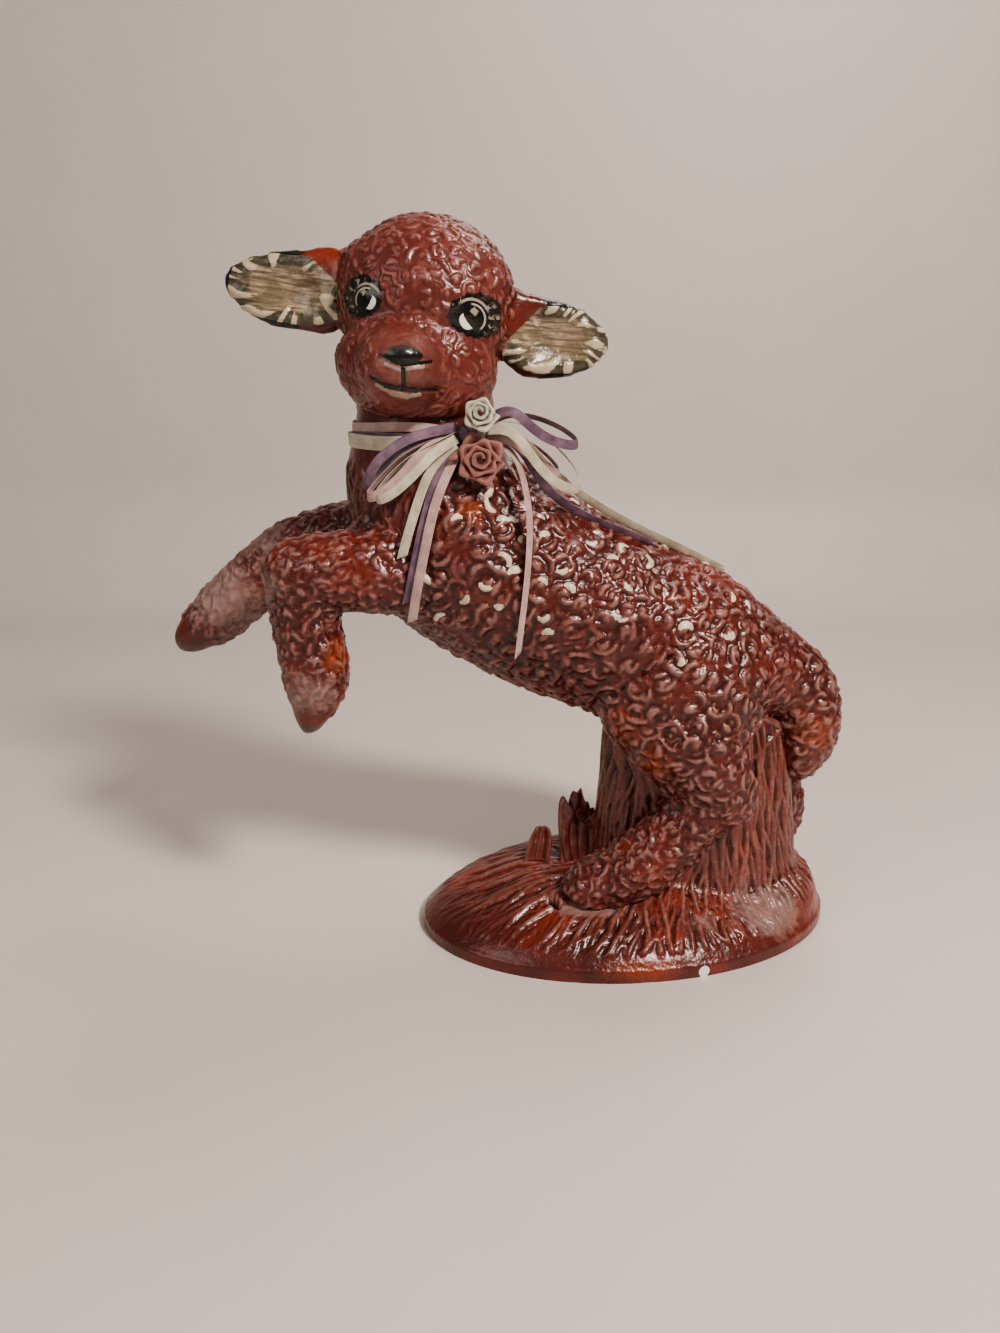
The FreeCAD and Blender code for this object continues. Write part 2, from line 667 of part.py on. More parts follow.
base = make_base()
trunk = make_trunk()
head = make_head(trunk)
make_ear("left_ear", LEFT_EAR_RINGS, head)
make_ear("right_ear", RIGHT_EAR_RINGS, head)
make_foreleg("left_foreleg", LEFT_FORE_UPPER, LEFT_FORE_LOWER, trunk)
make_foreleg("right_foreleg", RIGHT_FORE_UPPER, RIGHT_FORE_LOWER, trunk)
left_hind = make_hind_leg("left_hind_leg", -1, LEFT_THIGH, LEFT_SHANK, [trunk, base])
right_hind = make_hind_leg("right_hind_leg", 1, RIGHT_THIGH, RIGHT_SHANK, [trunk, base, left_hind])
column = make_column([trunk, left_hind, right_hind, base])
tail = limb("tail_form", "tail_radius", TAIL_RINGS)
piece(less("tail_cut", tail, [trunk, left_hind, right_hind, column]), "tail")
rolled_leaf = limb("rolled_leaf_form", "leaf_radius", ROLLED_LEAF_RINGS)
piece(less("rolled_leaf_cut", rolled_leaf, [base, left_hind]), "rolled_leaf")
tuft = blade("leaf_tuft_form", "tuft_width", "tuft_thickness", TUFT_RINGS)
piece(less("leaf_tuft_cut", tuft, [base, column, left_hind]), "leaf_tuft")

knot = make_knot()
for node, level in COLLARS:
    piece(less(node + "_cut", make_collar(node, level), [knot]), node)
pink_rose = make_rose("pink_rose", (19.05, -28.4, -7.2), "pink_rose_width", [trunk])
white_rose = make_rose("white_rose", (19.05, -27.6, 6.8), "white_rose_width", [trunk, head])
piece(less("knot_cut", knot, [trunk, pink_rose, white_rose]), "bow_knot")
for node in RIBBONS:
    make_ribbon(node, [knot])

doc.recompute()
faults = []
for item in doc.Objects:
    if "Invalid" in item.State or "Error" in item.State:
        faults.append("%s %s is in error" % (item.Name, item.Label))
for item in PIECES:
    if item.Shape.isNull() or not item.Shape.isValid():
        faults.append(item.Label + " has no valid shape")
    elif len(item.Shape.Solids) != 1:
        faults.append("%s has %d solids" % (item.Label, len(item.Shape.Solids)))
if faults:
    raise RuntimeError("; ".join(faults))

os.makedirs("parts", exist_ok=True)
for item in PIECES:
    item.Shape.exportStep("parts/%s.step" % item.Label)
print("%d nodes written" % len(PIECES))
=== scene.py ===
import math
import random

import bmesh
import bpy
import numpy as np
from mathutils import Matrix, Quaternion, Vector
from mathutils.bvhtree import BVHTree
from mathutils.kdtree import KDTree


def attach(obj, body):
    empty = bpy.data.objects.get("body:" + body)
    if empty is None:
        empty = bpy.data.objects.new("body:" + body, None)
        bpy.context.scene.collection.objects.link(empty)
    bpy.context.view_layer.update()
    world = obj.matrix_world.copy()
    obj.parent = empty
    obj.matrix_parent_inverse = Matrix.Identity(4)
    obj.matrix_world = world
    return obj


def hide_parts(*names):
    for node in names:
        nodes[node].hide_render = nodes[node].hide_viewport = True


# Rearing lamb: slip-cast, glazed and dry-brushed by hand, with a satin ribbon bow.
# Metres, +Z up, the lamb faces -X and turns its head to -Y.

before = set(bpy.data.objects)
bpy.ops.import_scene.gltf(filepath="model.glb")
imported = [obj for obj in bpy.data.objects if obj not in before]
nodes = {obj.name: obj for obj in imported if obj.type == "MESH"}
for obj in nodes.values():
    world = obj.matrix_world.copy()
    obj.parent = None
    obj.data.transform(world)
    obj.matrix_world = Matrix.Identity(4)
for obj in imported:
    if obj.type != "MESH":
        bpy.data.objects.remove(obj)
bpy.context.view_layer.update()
collection = bpy.context.scene.collection
chance = random.Random(11)
draw = np.random.default_rng(23)
MM = 0.001


# ------------------------------------------------------------------------ camera

def make_camera():
    """A phone held a little above the lamb, tipped down at it."""
    data = bpy.data.cameras.new("camera")
    data.lens = 27.03
    data.sensor_width = 36
    camera = bpy.data.objects.new("camera", data)
    camera.location = (-0.0492, -0.3585, 0.1994)
    camera.rotation_euler = (math.radians(74.5), 0, 0)
    collection.objects.link(camera)
    bpy.context.scene.camera = camera


make_camera()


# ---------------------------------------------------------------------- materials

class Wire:
    """A socket that adds Math nodes when it is used in an expression."""

    def __init__(self, finish, socket):
        self.finish = finish
        self.socket = socket

    def __add__(self, other):
        return self.finish.math("ADD", self, other)

    __radd__ = __add__

    def __mul__(self, other):
        return self.finish.math("MULTIPLY", self, other)

    __rmul__ = __mul__

    def __sub__(self, other):
        return self.finish.math("SUBTRACT", self, other)

    def __rsub__(self, other):
        return self.finish.math("SUBTRACT", other, self)

    def __truediv__(self, other):
        return self.finish.math("DIVIDE", self, other)

    def __neg__(self):
        return self.finish.math("MULTIPLY", self, -1)

    def __abs__(self):
        return self.finish.math("ABSOLUTE", self)


class Finish:
    """A material that is written as expressions."""

    def __init__(self, name):
        self.material = bpy.data.materials.new(name)
        self.material.use_nodes = True
        self.tree = self.material.node_tree
        self.shader = self.tree.nodes["Principled BSDF"]

    def node(self, kind, settings=None, sockets=None):
        """Any node: its settings first, then the values or links of its sockets."""
        made = self.tree.nodes.new(kind)
        for key, value in (settings or {}).items():
            setattr(made, key, value)
        for key, value in (sockets or {}).items():
            self.feed(made.inputs[key], value)
        return made

    def feed(self, socket, value):
        if isinstance(value, Wire):
            self.tree.links.new(value.socket, socket)
        else:
            socket.default_value = value

    def wire(self, node, output=0):
        return Wire(self, node.outputs[output])

    def math(self, operation, *values):
        sockets = dict(enumerate(values))
        return self.wire(self.node("ShaderNodeMath", {"operation": operation}, sockets))

    def least(self, *values):
        return self.fold("MINIMUM", values)

    def most(self, *values):
        return self.fold("MAXIMUM", values)

    def fold(self, operation, values):
        result = values[0]
        for value in values[1:]:
            result = self.math(operation, result, value)
        return result

    def smooth(self, value, low, high):
        """0 below low, 1 above high and a smooth step between."""
        made = self.node("ShaderNodeMapRange", {"interpolation_type": "SMOOTHSTEP"},
                         {0: value, 1: low, 2: high})
        return self.wire(made)

    def mix(self, share, first, second):
        made = self.node("ShaderNodeMix", {"data_type": "RGBA"}, {0: share, 6: first, 7: second})
        return self.wire(made, 2)

    def place(self):
        return self.wire(self.node("ShaderNodeTexCoord"), "Object")

    def part(self, vector, axis):
        return self.wire(self.node("ShaderNodeSeparateXYZ", None, {0: vector}), axis)

    def stretched(self, vector, scale, turn=(0, 0, 0)):
        made = self.node("ShaderNodeMapping", None, {0: vector, 2: turn, 3: scale})
        return self.wire(made)

    def noise(self, vector, scale, detail=2.0, rough=0.5):
        made = self.node("ShaderNodeTexNoise", None,
                         {"Vector": vector, "Scale": scale, "Detail": detail, "Roughness": rough})
        return self.wire(made, "Fac")

    def held(self, name):
        """A number that the mesh holds at each vertex."""
        made = self.node("ShaderNodeAttribute", {"attribute_name": name})
        return self.wire(made, "Fac")

    def held_vector(self, name):
        return self.wire(self.node("ShaderNodeAttribute", {"attribute_name": name}), "Vector")

    def bump(self, height, distance, strength=1.0):
        made = self.node("ShaderNodeBump", None,
                         {"Height": height, "Distance": distance, "Strength": strength})
        self.feed(self.shader.inputs["Normal"], self.wire(made))

    def set(self, **sockets):
        """The shader's own sockets, with underscores for spaces."""
        for key, value in sockets.items():
            self.feed(self.shader.inputs[key.replace("_", " ")], value)


def paint(red, green, blue):
    return (red, green, blue, 1.0)


CREAM = paint(0.74, 0.66, 0.50)
BLACK = paint(0.008, 0.007, 0.006)
WHITE = paint(0.86, 0.83, 0.75)
OLIVE = paint(0.10, 0.085, 0.045)


class Glaze(Finish):
    """Red-brown glaze, dry-brushed with dusty pink on the raised parts."""

    def __init__(self, name, rub=0.5, orange=0.0, brushed=paint(0.335, 0.190, 0.170)):
        super().__init__(name)
        spot = self.place()
        self.spot = spot
        crest = self.held("crest")
        hollow = self.held("hollow")
        broad = self.noise(spot, 42, 3)
        patch = self.noise(spot, 130, 3)
        grain = self.noise(spot, 520, 3, 0.6)
        streak = self.noise(self.stretched(spot, (900, 900, 2600)), 1, 2)
        self.grain = grain
        self.patch = patch
        ground = self.mix(self.smooth(broad, 0.35, 0.68), paint(0.070, 0.012, 0.009),
                          paint(0.145, 0.023, 0.015))
        ground = self.mix(self.smooth(crest + (grain - 0.5) * 0.5, 0.0, 0.8), ground,
                          paint(0.160, 0.044, 0.034))
        if orange:
            warm = self.smooth(broad + (patch - 0.5) * 0.5, 0.56, 0.70) * orange
            ground = self.mix(warm, ground, paint(0.30, 0.040, 0.012))
        warm_zone = self.smooth(self.held("warm") + (grain - 0.5) * 0.5, 0.3, 0.8)
        ground = self.mix(warm_zone * 0.7, ground, paint(0.30, 0.052, 0.013))
        pooled = self.smooth(hollow + (grain - 0.5) * 0.2, 0.05, 0.9)
        ground = self.mix(pooled * 0.75, ground, paint(0.026, 0.006, 0.005))
        worn = self.smooth(crest - hollow * 0.35 + (grain - 0.5) * 1.3 + (streak - 0.5) * 0.9,
                           0.42, 1.05)
        worn = worn * self.smooth(patch + (broad - 0.5) * 0.5 + self.held("rub") * 0.30,
                                  0.36, 0.70) * rub
        colour = self.mix(worn, ground, brushed)
        dusty = self.smooth(self.held("dust") + (patch - 0.5) * 0.7 + (grain - 0.5) * 0.35,
                            0.42, 0.75)
        colour = self.mix(dusty * 0.62, colour, paint(0.305, 0.205, 0.180))
        dab = self.smooth(self.held("dab") + (grain - 0.5) * 0.55 + (patch - 0.5) * 0.4,
                          0.52, 0.58)
        colour = self.mix(self.smooth(self.held("tip"), 0.3, 0.7) * 0.8, colour,
                          paint(0.040, 0.032, 0.022))
        dab_tone = self.mix(self.smooth(patch, 0.35, 0.65), paint(0.50, 0.42, 0.33), CREAM)
        self.colour = self.mix(dab, colour, dab_tone)
        self.rough = 0.30 + worn * 0.26 + dusty * 0.30 + (grain - 0.5) * 0.10 + dab * 0.14
        self.set(Coat_Weight=0.26, Coat_Roughness=0.17)
        self.shader.inputs["Specular IOR Level"].default_value = 0.45
        self.bump(grain + patch * 2.2 + dab * 0.5, 0.00026)

    def done(self):
        self.set(Base_Color=self.colour, Roughness=self.rough)
        return self.material


class FaceGlaze(Glaze):
    """The head's glaze with its eyes, nose and mouth painted over it."""

    def stroke(self, start, end, width):
        """How far a spot is outside a straight brush stroke, over the stroke's half width."""
        (x0, z0), (x1, z1) = start, end
        run, rise = x1 - x0, z1 - z0
        long2 = run * run + rise * rise
        along = self.math("ADD", (self.x - x0) * (run / long2), (self.z - z0) * (rise / long2))
        along.socket.node.use_clamp = True
        across = self.x - x0 - along * run
        up = self.z - z0 - along * rise
        return self.math("SQRT", across * across + up * up) * (1 / width)

    def lay(self, cover, colour, rough):
        self.colour = self.mix(cover, self.colour, colour)
        self.rough = self.rough * (1 - cover) + cover * rough

    def inside(self, gap, soft=0.12):
        """1 where a gap is under 1, with a slightly ragged edge."""
        return 1 - self.smooth(gap + (self.grain - 0.5) * 0.22, 1 - soft, 1 + soft)

    def eye(self, centre, patch, iris, gaze, lash, highlight):
        """A black patch with lashes, an iris with a white crescent, and a highlight."""
        dx, dz = self.x - centre[0], self.z - centre[1]
        away = self.math("SQRT", dx * dx + dz * dz)
        angle = self.math("ARCTAN2", dz, dx)
        px, pz = self.x - patch[0], self.z - patch[1]
        px, pz = px * (1 / patch[2]), pz * (1 / patch[3])
        edge = self.math("SQRT", px * px + pz * pz)
        ragged = self.noise(self.stretched(self.spot, (700, 0, 700)), 1, 2)
        black = self.inside(edge + (ragged - 0.5) * 0.45, 0.05) * self.front
        self.lay(black, BLACK, 0.12)
        wave = self.math("SINE", angle * 13 + (ragged - 0.5) * 9)
        ring = self.smooth(away, iris * 1.12, iris * 1.35)
        side = self.smooth(self.math("COSINE", angle - lash), -0.35, 0.25)
        hairs = self.smooth(wave, 0.30, 0.75) * ring * side
        hairs = hairs * (1 - self.smooth(edge, 0.66, 0.94)) * self.smooth(ragged, 0.40, 0.54)
        self.lay(hairs * self.front * 0.9, paint(0.36, 0.32, 0.25), 0.35)
        lid = abs(away - iris * 1.30) * (1 / (iris * 0.10))
        above = self.smooth(self.math("COSINE", angle - 1.35), 0.45, 0.8)
        self.lay(self.inside(lid) * above * self.front, paint(0.33, 0.29, 0.22), 0.35)
        rim = self.inside(abs(away - iris * 0.96) * (1 / (iris * 0.07)))
        rim = rim * self.smooth(self.math("COSINE", angle - gaze - 2.9), 0.2, 0.5)
        self.lay(rim * self.front, paint(0.42, 0.39, 0.33), 0.3)
        turn = self.math("COSINE", angle - gaze)
        thick = self.smooth(turn, 0.45, 1.0) * (iris * 0.24) + 0.00001
        moon = self.inside(abs(away - iris * 0.70) / thick, 0.18)
        self.lay(moon * self.smooth(turn, 0.45, 0.55) * self.front, WHITE, 0.25)
        hx = abs(self.x - highlight[0]) * (1 / (iris * 0.30))
        hz = abs(self.z - highlight[1]) * (1 / (iris * 0.36))
        spark = self.inside(hx + hz + (ragged - 0.5) * 1.2, 0.25)
        self.lay(spark * self.front * 0.85, paint(0.36, 0.32, 0.24), 0.3)

    def face(self):
        self.x = self.part(self.spot, 0)
        self.z = self.part(self.spot, 2)
        depth = self.part(self.spot, 1)
        self.front = 1 - self.smooth(depth, -0.020, -0.018)
        self.rough = self.rough + 0.05
        # pinkish muzzle and the bare glaze that runs up between the eyes
        self.colour = self.mix(self.front * 0.30, self.colour, paint(0.240, 0.050, 0.036))
        mx, mz = (self.x + 0.0785) * (1 / 0.0120), (self.z - 0.2085) * (1 / 0.0120)
        snout = 1 - self.smooth(self.math("SQRT", mx * mx + mz * mz), 0.2, 1.3)
        mottle = self.smooth(self.patch + (self.grain - 0.5) * 0.5, 0.36, 0.66) * 0.35 + 0.12
        self.colour = self.mix(snout * self.front * mottle, self.colour,
                               paint(0.270, 0.125, 0.100))
        blush = self.smooth(self.noise(self.spot, 170, 4, 0.6), 0.52, 0.66)
        self.colour = self.mix(blush * self.front * 0.30, self.colour, paint(0.36, 0.13, 0.11))
        self.eye((-0.0579, 0.2206), (-0.0562, 0.2213, 0.0090, 0.0065), 0.0042, -2.55, 0.1,
                 (-0.0571, 0.2226))
        self.eye((-0.0907, 0.2260), (-0.0921, 0.2273, 0.0068, 0.0063), 0.0036, -0.55, 2.6,
                 (-0.0915, 0.2284))
        # nose pad with a painted highlight on its upper part, nostril lines, philtrum, mouth and
        # lower lip
        nx = (self.x + 0.0781) * (1 / 0.0058)
        nz = (self.z - 0.2094) * (1 / 0.0027)
        bow = nx * nx * 0.25
        nose = self.inside(self.math("SQRT", nx * nx + (nz + bow) * (nz + bow)), 0.06)
        dry = (self.noise(self.spot, 1500, 2) - 0.5) * 0.9
        left = self.stroke((-0.0855, 0.2090), (-0.0784, 0.2063), 0.00050)
        right = self.stroke((-0.0784, 0.2063), (-0.0700, 0.2073), 0.00048)
        pale_left = self.stroke((-0.0834, 0.2066), (-0.0791, 0.2049), 0.00050)
        pale_right = self.stroke((-0.0791, 0.2049), (-0.0722, 0.2058), 0.00050)
        cleft = self.stroke((-0.0781, 0.2056), (-0.0783, 0.2000), 0.00070)
        mouth = self.least(self.stroke((-0.0882, 0.2030), (-0.0840, 0.2004), 0.00055),
                           self.stroke((-0.0840, 0.2004), (-0.0790, 0.1994), 0.00072),
                           self.stroke((-0.0790, 0.1994), (-0.0748, 0.1990), 0.00080),
                           self.stroke((-0.0748, 0.1990), (-0.0690, 0.1992), 0.00048))
        lip = self.least(self.stroke((-0.0866, 0.2006), (-0.0822, 0.1982), 0.00060),
                         self.stroke((-0.0822, 0.1982), (-0.0776, 0.1972), 0.00085),
                         self.stroke((-0.0776, 0.1972), (-0.0738, 0.1978), 0.00060))
        pale = self.inside(self.least(pale_left, pale_right) + dry)
        self.lay(pale * self.front * 0.7, paint(0.34, 0.28, 0.25), 0.4)
        self.lay(self.inside(lip + dry * 0.9) * self.front * 0.65, paint(0.44, 0.37, 0.26), 0.35)
        # painted highlight: the nose pad's upper part is painted lighter grey over the black
        nose_painted_highlight = self.smooth(nz + (self.grain - 0.5) * 0.8, -0.1, 0.8) * 0.5
        lines = self.inside(self.least(left, right, cleft, mouth) + dry * 0.7)
        self.lay(lines * self.front, BLACK, 0.12)
        self.lay(nose * self.front, self.mix(nose_painted_highlight, BLACK, paint(0.10, 0.088, 0.080)), 0.26)
        return self.done()


class EarGlaze(Glaze):
    """Red outside; cream and olive brush strokes inside, with black edging."""

    def ear(self):
        """Needs cup (1 inside the ear), edge, petal, rim and the comb vector, held on the mesh."""
        cup = self.held("cup")
        edge = self.held("edge")
        sweep = self.noise(self.held_vector("comb"), 1, 3, 0.6)
        blotch = self.noise(self.spot, 210, 3)
        inner = self.mix(self.smooth(sweep, 0.38, 0.60), paint(0.13, 0.095, 0.060),
                         paint(0.42, 0.32, 0.225))
        inner = self.mix(self.smooth(blotch + (sweep - 0.5) * 0.7, 0.46, 0.62) * 0.65, inner,
                         paint(0.12, 0.095, 0.050))
        petal = self.held("petal") + (blotch - 0.5) * 1.7 + (sweep - 0.5) * 0.8
        gaps = self.smooth(edge - petal * 0.6 + (self.patch - 0.5) * 1.2, 0.30, 0.75)
        inner = self.mix(gaps * 0.85, inner, paint(0.040, 0.038, 0.020))
        inner = self.mix(self.smooth(petal, 0.40, 0.62) * 0.9, inner, paint(0.54, 0.46, 0.33))
        cover = self.smooth(cup + (self.grain - 0.5) * 0.2, 0.45, 0.55)
        self.colour = self.mix(cover, self.colour, inner)
        rim = self.smooth(self.held("rim") + (self.grain - 0.5) * 0.3, 0.48, 0.60)
        self.colour = self.mix(rim, self.colour, BLACK)
        self.rough = self.rough * (1 - cover) + cover * 0.30
        return self.done()


class GrassGlaze(Glaze):
    """The base's glaze: the same red with pale dry-brushed blades."""

    def __init__(self, name, rub=0.7, orange=0.35):
        super().__init__(name, rub, orange, paint(0.285, 0.175, 0.145))
        blade = self.smooth(self.held("blade") + (self.patch - 0.5) * 0.8, 0.55, 0.9)
        self.colour = self.mix(blade * 0.22, self.colour, paint(0.26, 0.046, 0.028))
        # painted shade: the firing vent's pit is painted near black for the dark hole
        slot = self.smooth(self.held("slot") + (self.grain - 0.5) * 0.1, 0.4, 0.6)
        self.colour = self.mix(slot, self.colour, paint(0.004, 0.003, 0.003))
        hide = self.held("chip")
        chip = self.smooth(hide + (self.grain - 0.5) * 0.2, 0.45, 0.55)
        self.colour = self.mix(chip, self.colour, paint(0.80, 0.77, 0.70))


class Satin(Finish):
    """Woven satin: fine slanting ribs, brighter selvages and a soft sheen."""

    def __init__(self, name, colour, shade):
        super().__init__(name)
        weave = self.held_vector("weave")
        along, across = self.part(weave, 0), self.part(weave, 1)
        rib = self.math("SINE", (along + across * 0.5) * (2 * math.pi / 0.00042))
        warp = self.math("SINE", across * (2 * math.pi / 0.00030))
        edge = self.smooth(abs(across), 0.00128, 0.00140)
        drift = self.noise(weave, 130, 2)
        fibre = self.noise(self.stretched(weave, (300, 5000, 1)), 1, 2)
        tone = self.mix(self.smooth(drift + (fibre - 0.5) * 0.6, 0.3, 0.7), shade, colour)
        tone = self.mix(self.smooth(rib, 0.2, 1.0) * 0.22, tone, shade)
        tone = self.mix(edge * 0.35, tone, colour)
        self.set(Base_Color=tone, Roughness=0.34 + (fibre - 0.5) * 0.16 + edge * 0.12)
        self.shader.inputs["Sheen Weight"].default_value = 0.35
        self.shader.inputs["Sheen Roughness"].default_value = 0.35
        self.shader.inputs["Anisotropic"].default_value = 0.4
        self.bump(rib + warp * 0.4 + edge * 3, 0.00004)


class RoseSatin(Finish):
    """Crisp satin folded into a rose: painted shade low in each turn and a painted highlight along
    its rolled edges.
    """

    def __init__(self, name, colour, deep, edge):
        super().__init__(name)
        weave = self.held_vector("weave")
        along, across = self.part(weave, 0), self.part(weave, 1)
        rib = self.math("SINE", along * (2 * math.pi / 0.00034))
        drift = self.noise(self.place(), 260, 3)
        # painted shade: each turn darkens towards its foot, deep inside the rose
        tone = self.mix(self.smooth(across + (drift - 0.5) * 0.4, 0.0, 0.75), deep, colour)
        # painted highlight: each turn is paler along its rolled top edge
        tone = self.mix(self.smooth(across + (drift - 0.5) * 0.2, 0.70, 0.98) * 0.8, tone, edge)
        tone = self.mix(self.smooth(rib, 0.0, 1.0) * 0.10, tone, deep)
        self.set(Base_Color=tone, Roughness=0.42 + (drift - 0.5) * 0.14)
        self.shader.inputs["Sheen Weight"].default_value = 0.30
        self.shader.inputs["Sheen Roughness"].default_value = 0.4
        self.bump(rib + drift * 2, 0.00003)


SATINS = {
    "cream": Satin("cream_satin", paint(0.70, 0.62, 0.49), paint(0.46, 0.40, 0.29)).material,
    "lilac": Satin("lilac_satin", paint(0.265, 0.160, 0.215), paint(0.095, 0.052, 0.090)).material,
    "pink": Satin("pink_satin", paint(0.60, 0.42, 0.385), paint(0.42, 0.26, 0.24)).material,
}


# ------------------------------------------------------------------------ ribbons

def ribbon_line(name, points):
    """The smooth line that a ribbon follows, read from a NURBS spline."""
    curve = bpy.data.curves.new(name + "_line", "CURVE")
    curve.dimensions = "3D"
    curve.resolution_u = 10
    spline = curve.splines.new("NURBS")
    spline.points.add(len(points) - 1)
    for spot, point in zip(spline.points, points):
        spot.co = (*point, 1)
    spline.order_u = 3
    spline.use_endpoint_u = True
    holder = bpy.data.objects.new(name + "_line", curve)
    mesh = bpy.data.meshes.new_from_object(holder)
    line = [vertex.co.copy() for vertex in mesh.vertices]
    bpy.data.objects.remove(holder)
    bpy.data.meshes.remove(mesh)
    return line


def stations(line, across):
    """A frame at each point of a line: X over the ribbon's width, Y through it, Z along it."""
    frames = []
    wide = Vector(across)
    for index, spot in enumerate(line):
        ahead = line[min(index + 1, len(line) - 1)] - line[max(index - 1, 0)]
        ahead.normalize()
        wide = (wide - ahead * wide.dot(ahead)).normalized()
        through = ahead.cross(wide)
        turn = Matrix((wide, through, ahead)).transposed().to_4x4()
        frames.append(Matrix.Translation(spot) @ turn)
    return frames


RIBBON_HALF = 1.6 * MM
RIBBON_THICK = 0.28 * MM


def ring_of(bm, half, thick, camber):
    """A ribbon's cross-section, bowed a little, as a closed ring at the origin."""
    weave = bm.verts.layers.float_vector.new("weave")
    top = []
    bottom = []
    for share in (-1, -0.9, -0.55, 0, 0.55, 0.9, 1):
        bow = camber * (1 - share * share)
        edge = 0.55 if abs(share) == 1 else 1.0
        top.append(bm.verts.new((half * share, bow + thick / 2 * edge, 0)))
        bottom.append(bm.verts.new((half * share, bow - thick / 2 * edge, 0)))
    ring = top + bottom[::-1]
    for vert in ring:
        vert[weave] = (0, vert.co.x, 0)
    edges = [bm.edges.new(pair) for pair in zip(ring, ring[1:] + ring[:1])]
    return edges, weave


def swept(name, frames, half=RIBBON_HALF, thick=RIBBON_THICK, camber=0.12 * MM, squeeze=None):
    """A ribbon: the cross-section drawn out through the frames."""
    bm = bmesh.new()
    edges, weave = ring_of(bm, half, thick, camber)
    before = Matrix.Identity(4)
    run = 0.0
    for index, station in enumerate(frames):
        if squeeze:
            station = station @ Matrix.Diagonal((squeeze(index / (len(frames) - 1)), 1, 1, 1))
        if index:
            made = bmesh.ops.extrude_edge_only(bm, edges=edges)["geom"]
            verts = [item for item in made if isinstance(item, bmesh.types.BMVert)]
            fresh = set(verts)
            edges = [item for item in made if isinstance(item, bmesh.types.BMEdge)
                     and item.verts[0] in fresh and item.verts[1] in fresh]
            run += (station.translation - before.translation).length
        else:
            verts = list(bm.verts)
        bmesh.ops.transform(bm, matrix=station @ before.inverted(), verts=verts)
        for vert in verts:
            vert[weave] = (run, vert[weave][1], 0)
        before = station
    return bm


SNIP = 0.0022


def trim(bm, frames, slant):
    """Cut a ribbon's free end across at a slant, and say where."""
    end = frames[-1]
    normal = (end.col[2].to_3d() + end.col[0].to_3d() * slant).normalized()
    spot = end.translation - end.col[2].to_3d() * SNIP
    geom = bm.verts[:] + bm.edges[:] + bm.faces[:]
    bmesh.ops.bisect_plane(bm, geom=geom, plane_co=spot, plane_no=normal, clear_outer=True)
    return spot


def closed(bm):
    """Fill the open ends and turn the faces outwards."""
    bmesh.ops.holes_fill(bm, edges=[edge for edge in bm.edges if edge.is_boundary], sides=0)
    bmesh.ops.recalc_face_normals(bm, faces=bm.faces)


def made_piece(name, bm, material, slot, *replaced, smooth=True):
    """An object that stands for CAD nodes and rides on the figure."""
    mesh = bpy.data.meshes.new(name)
    bm.to_mesh(mesh)
    bm.free()
    mesh.materials.append(material)
    if smooth:
        mesh.shade_smooth()
    piece = bpy.data.objects.new(name, mesh)
    collection.objects.link(piece)
    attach(piece, "root")
    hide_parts(*replaced)
    return piece


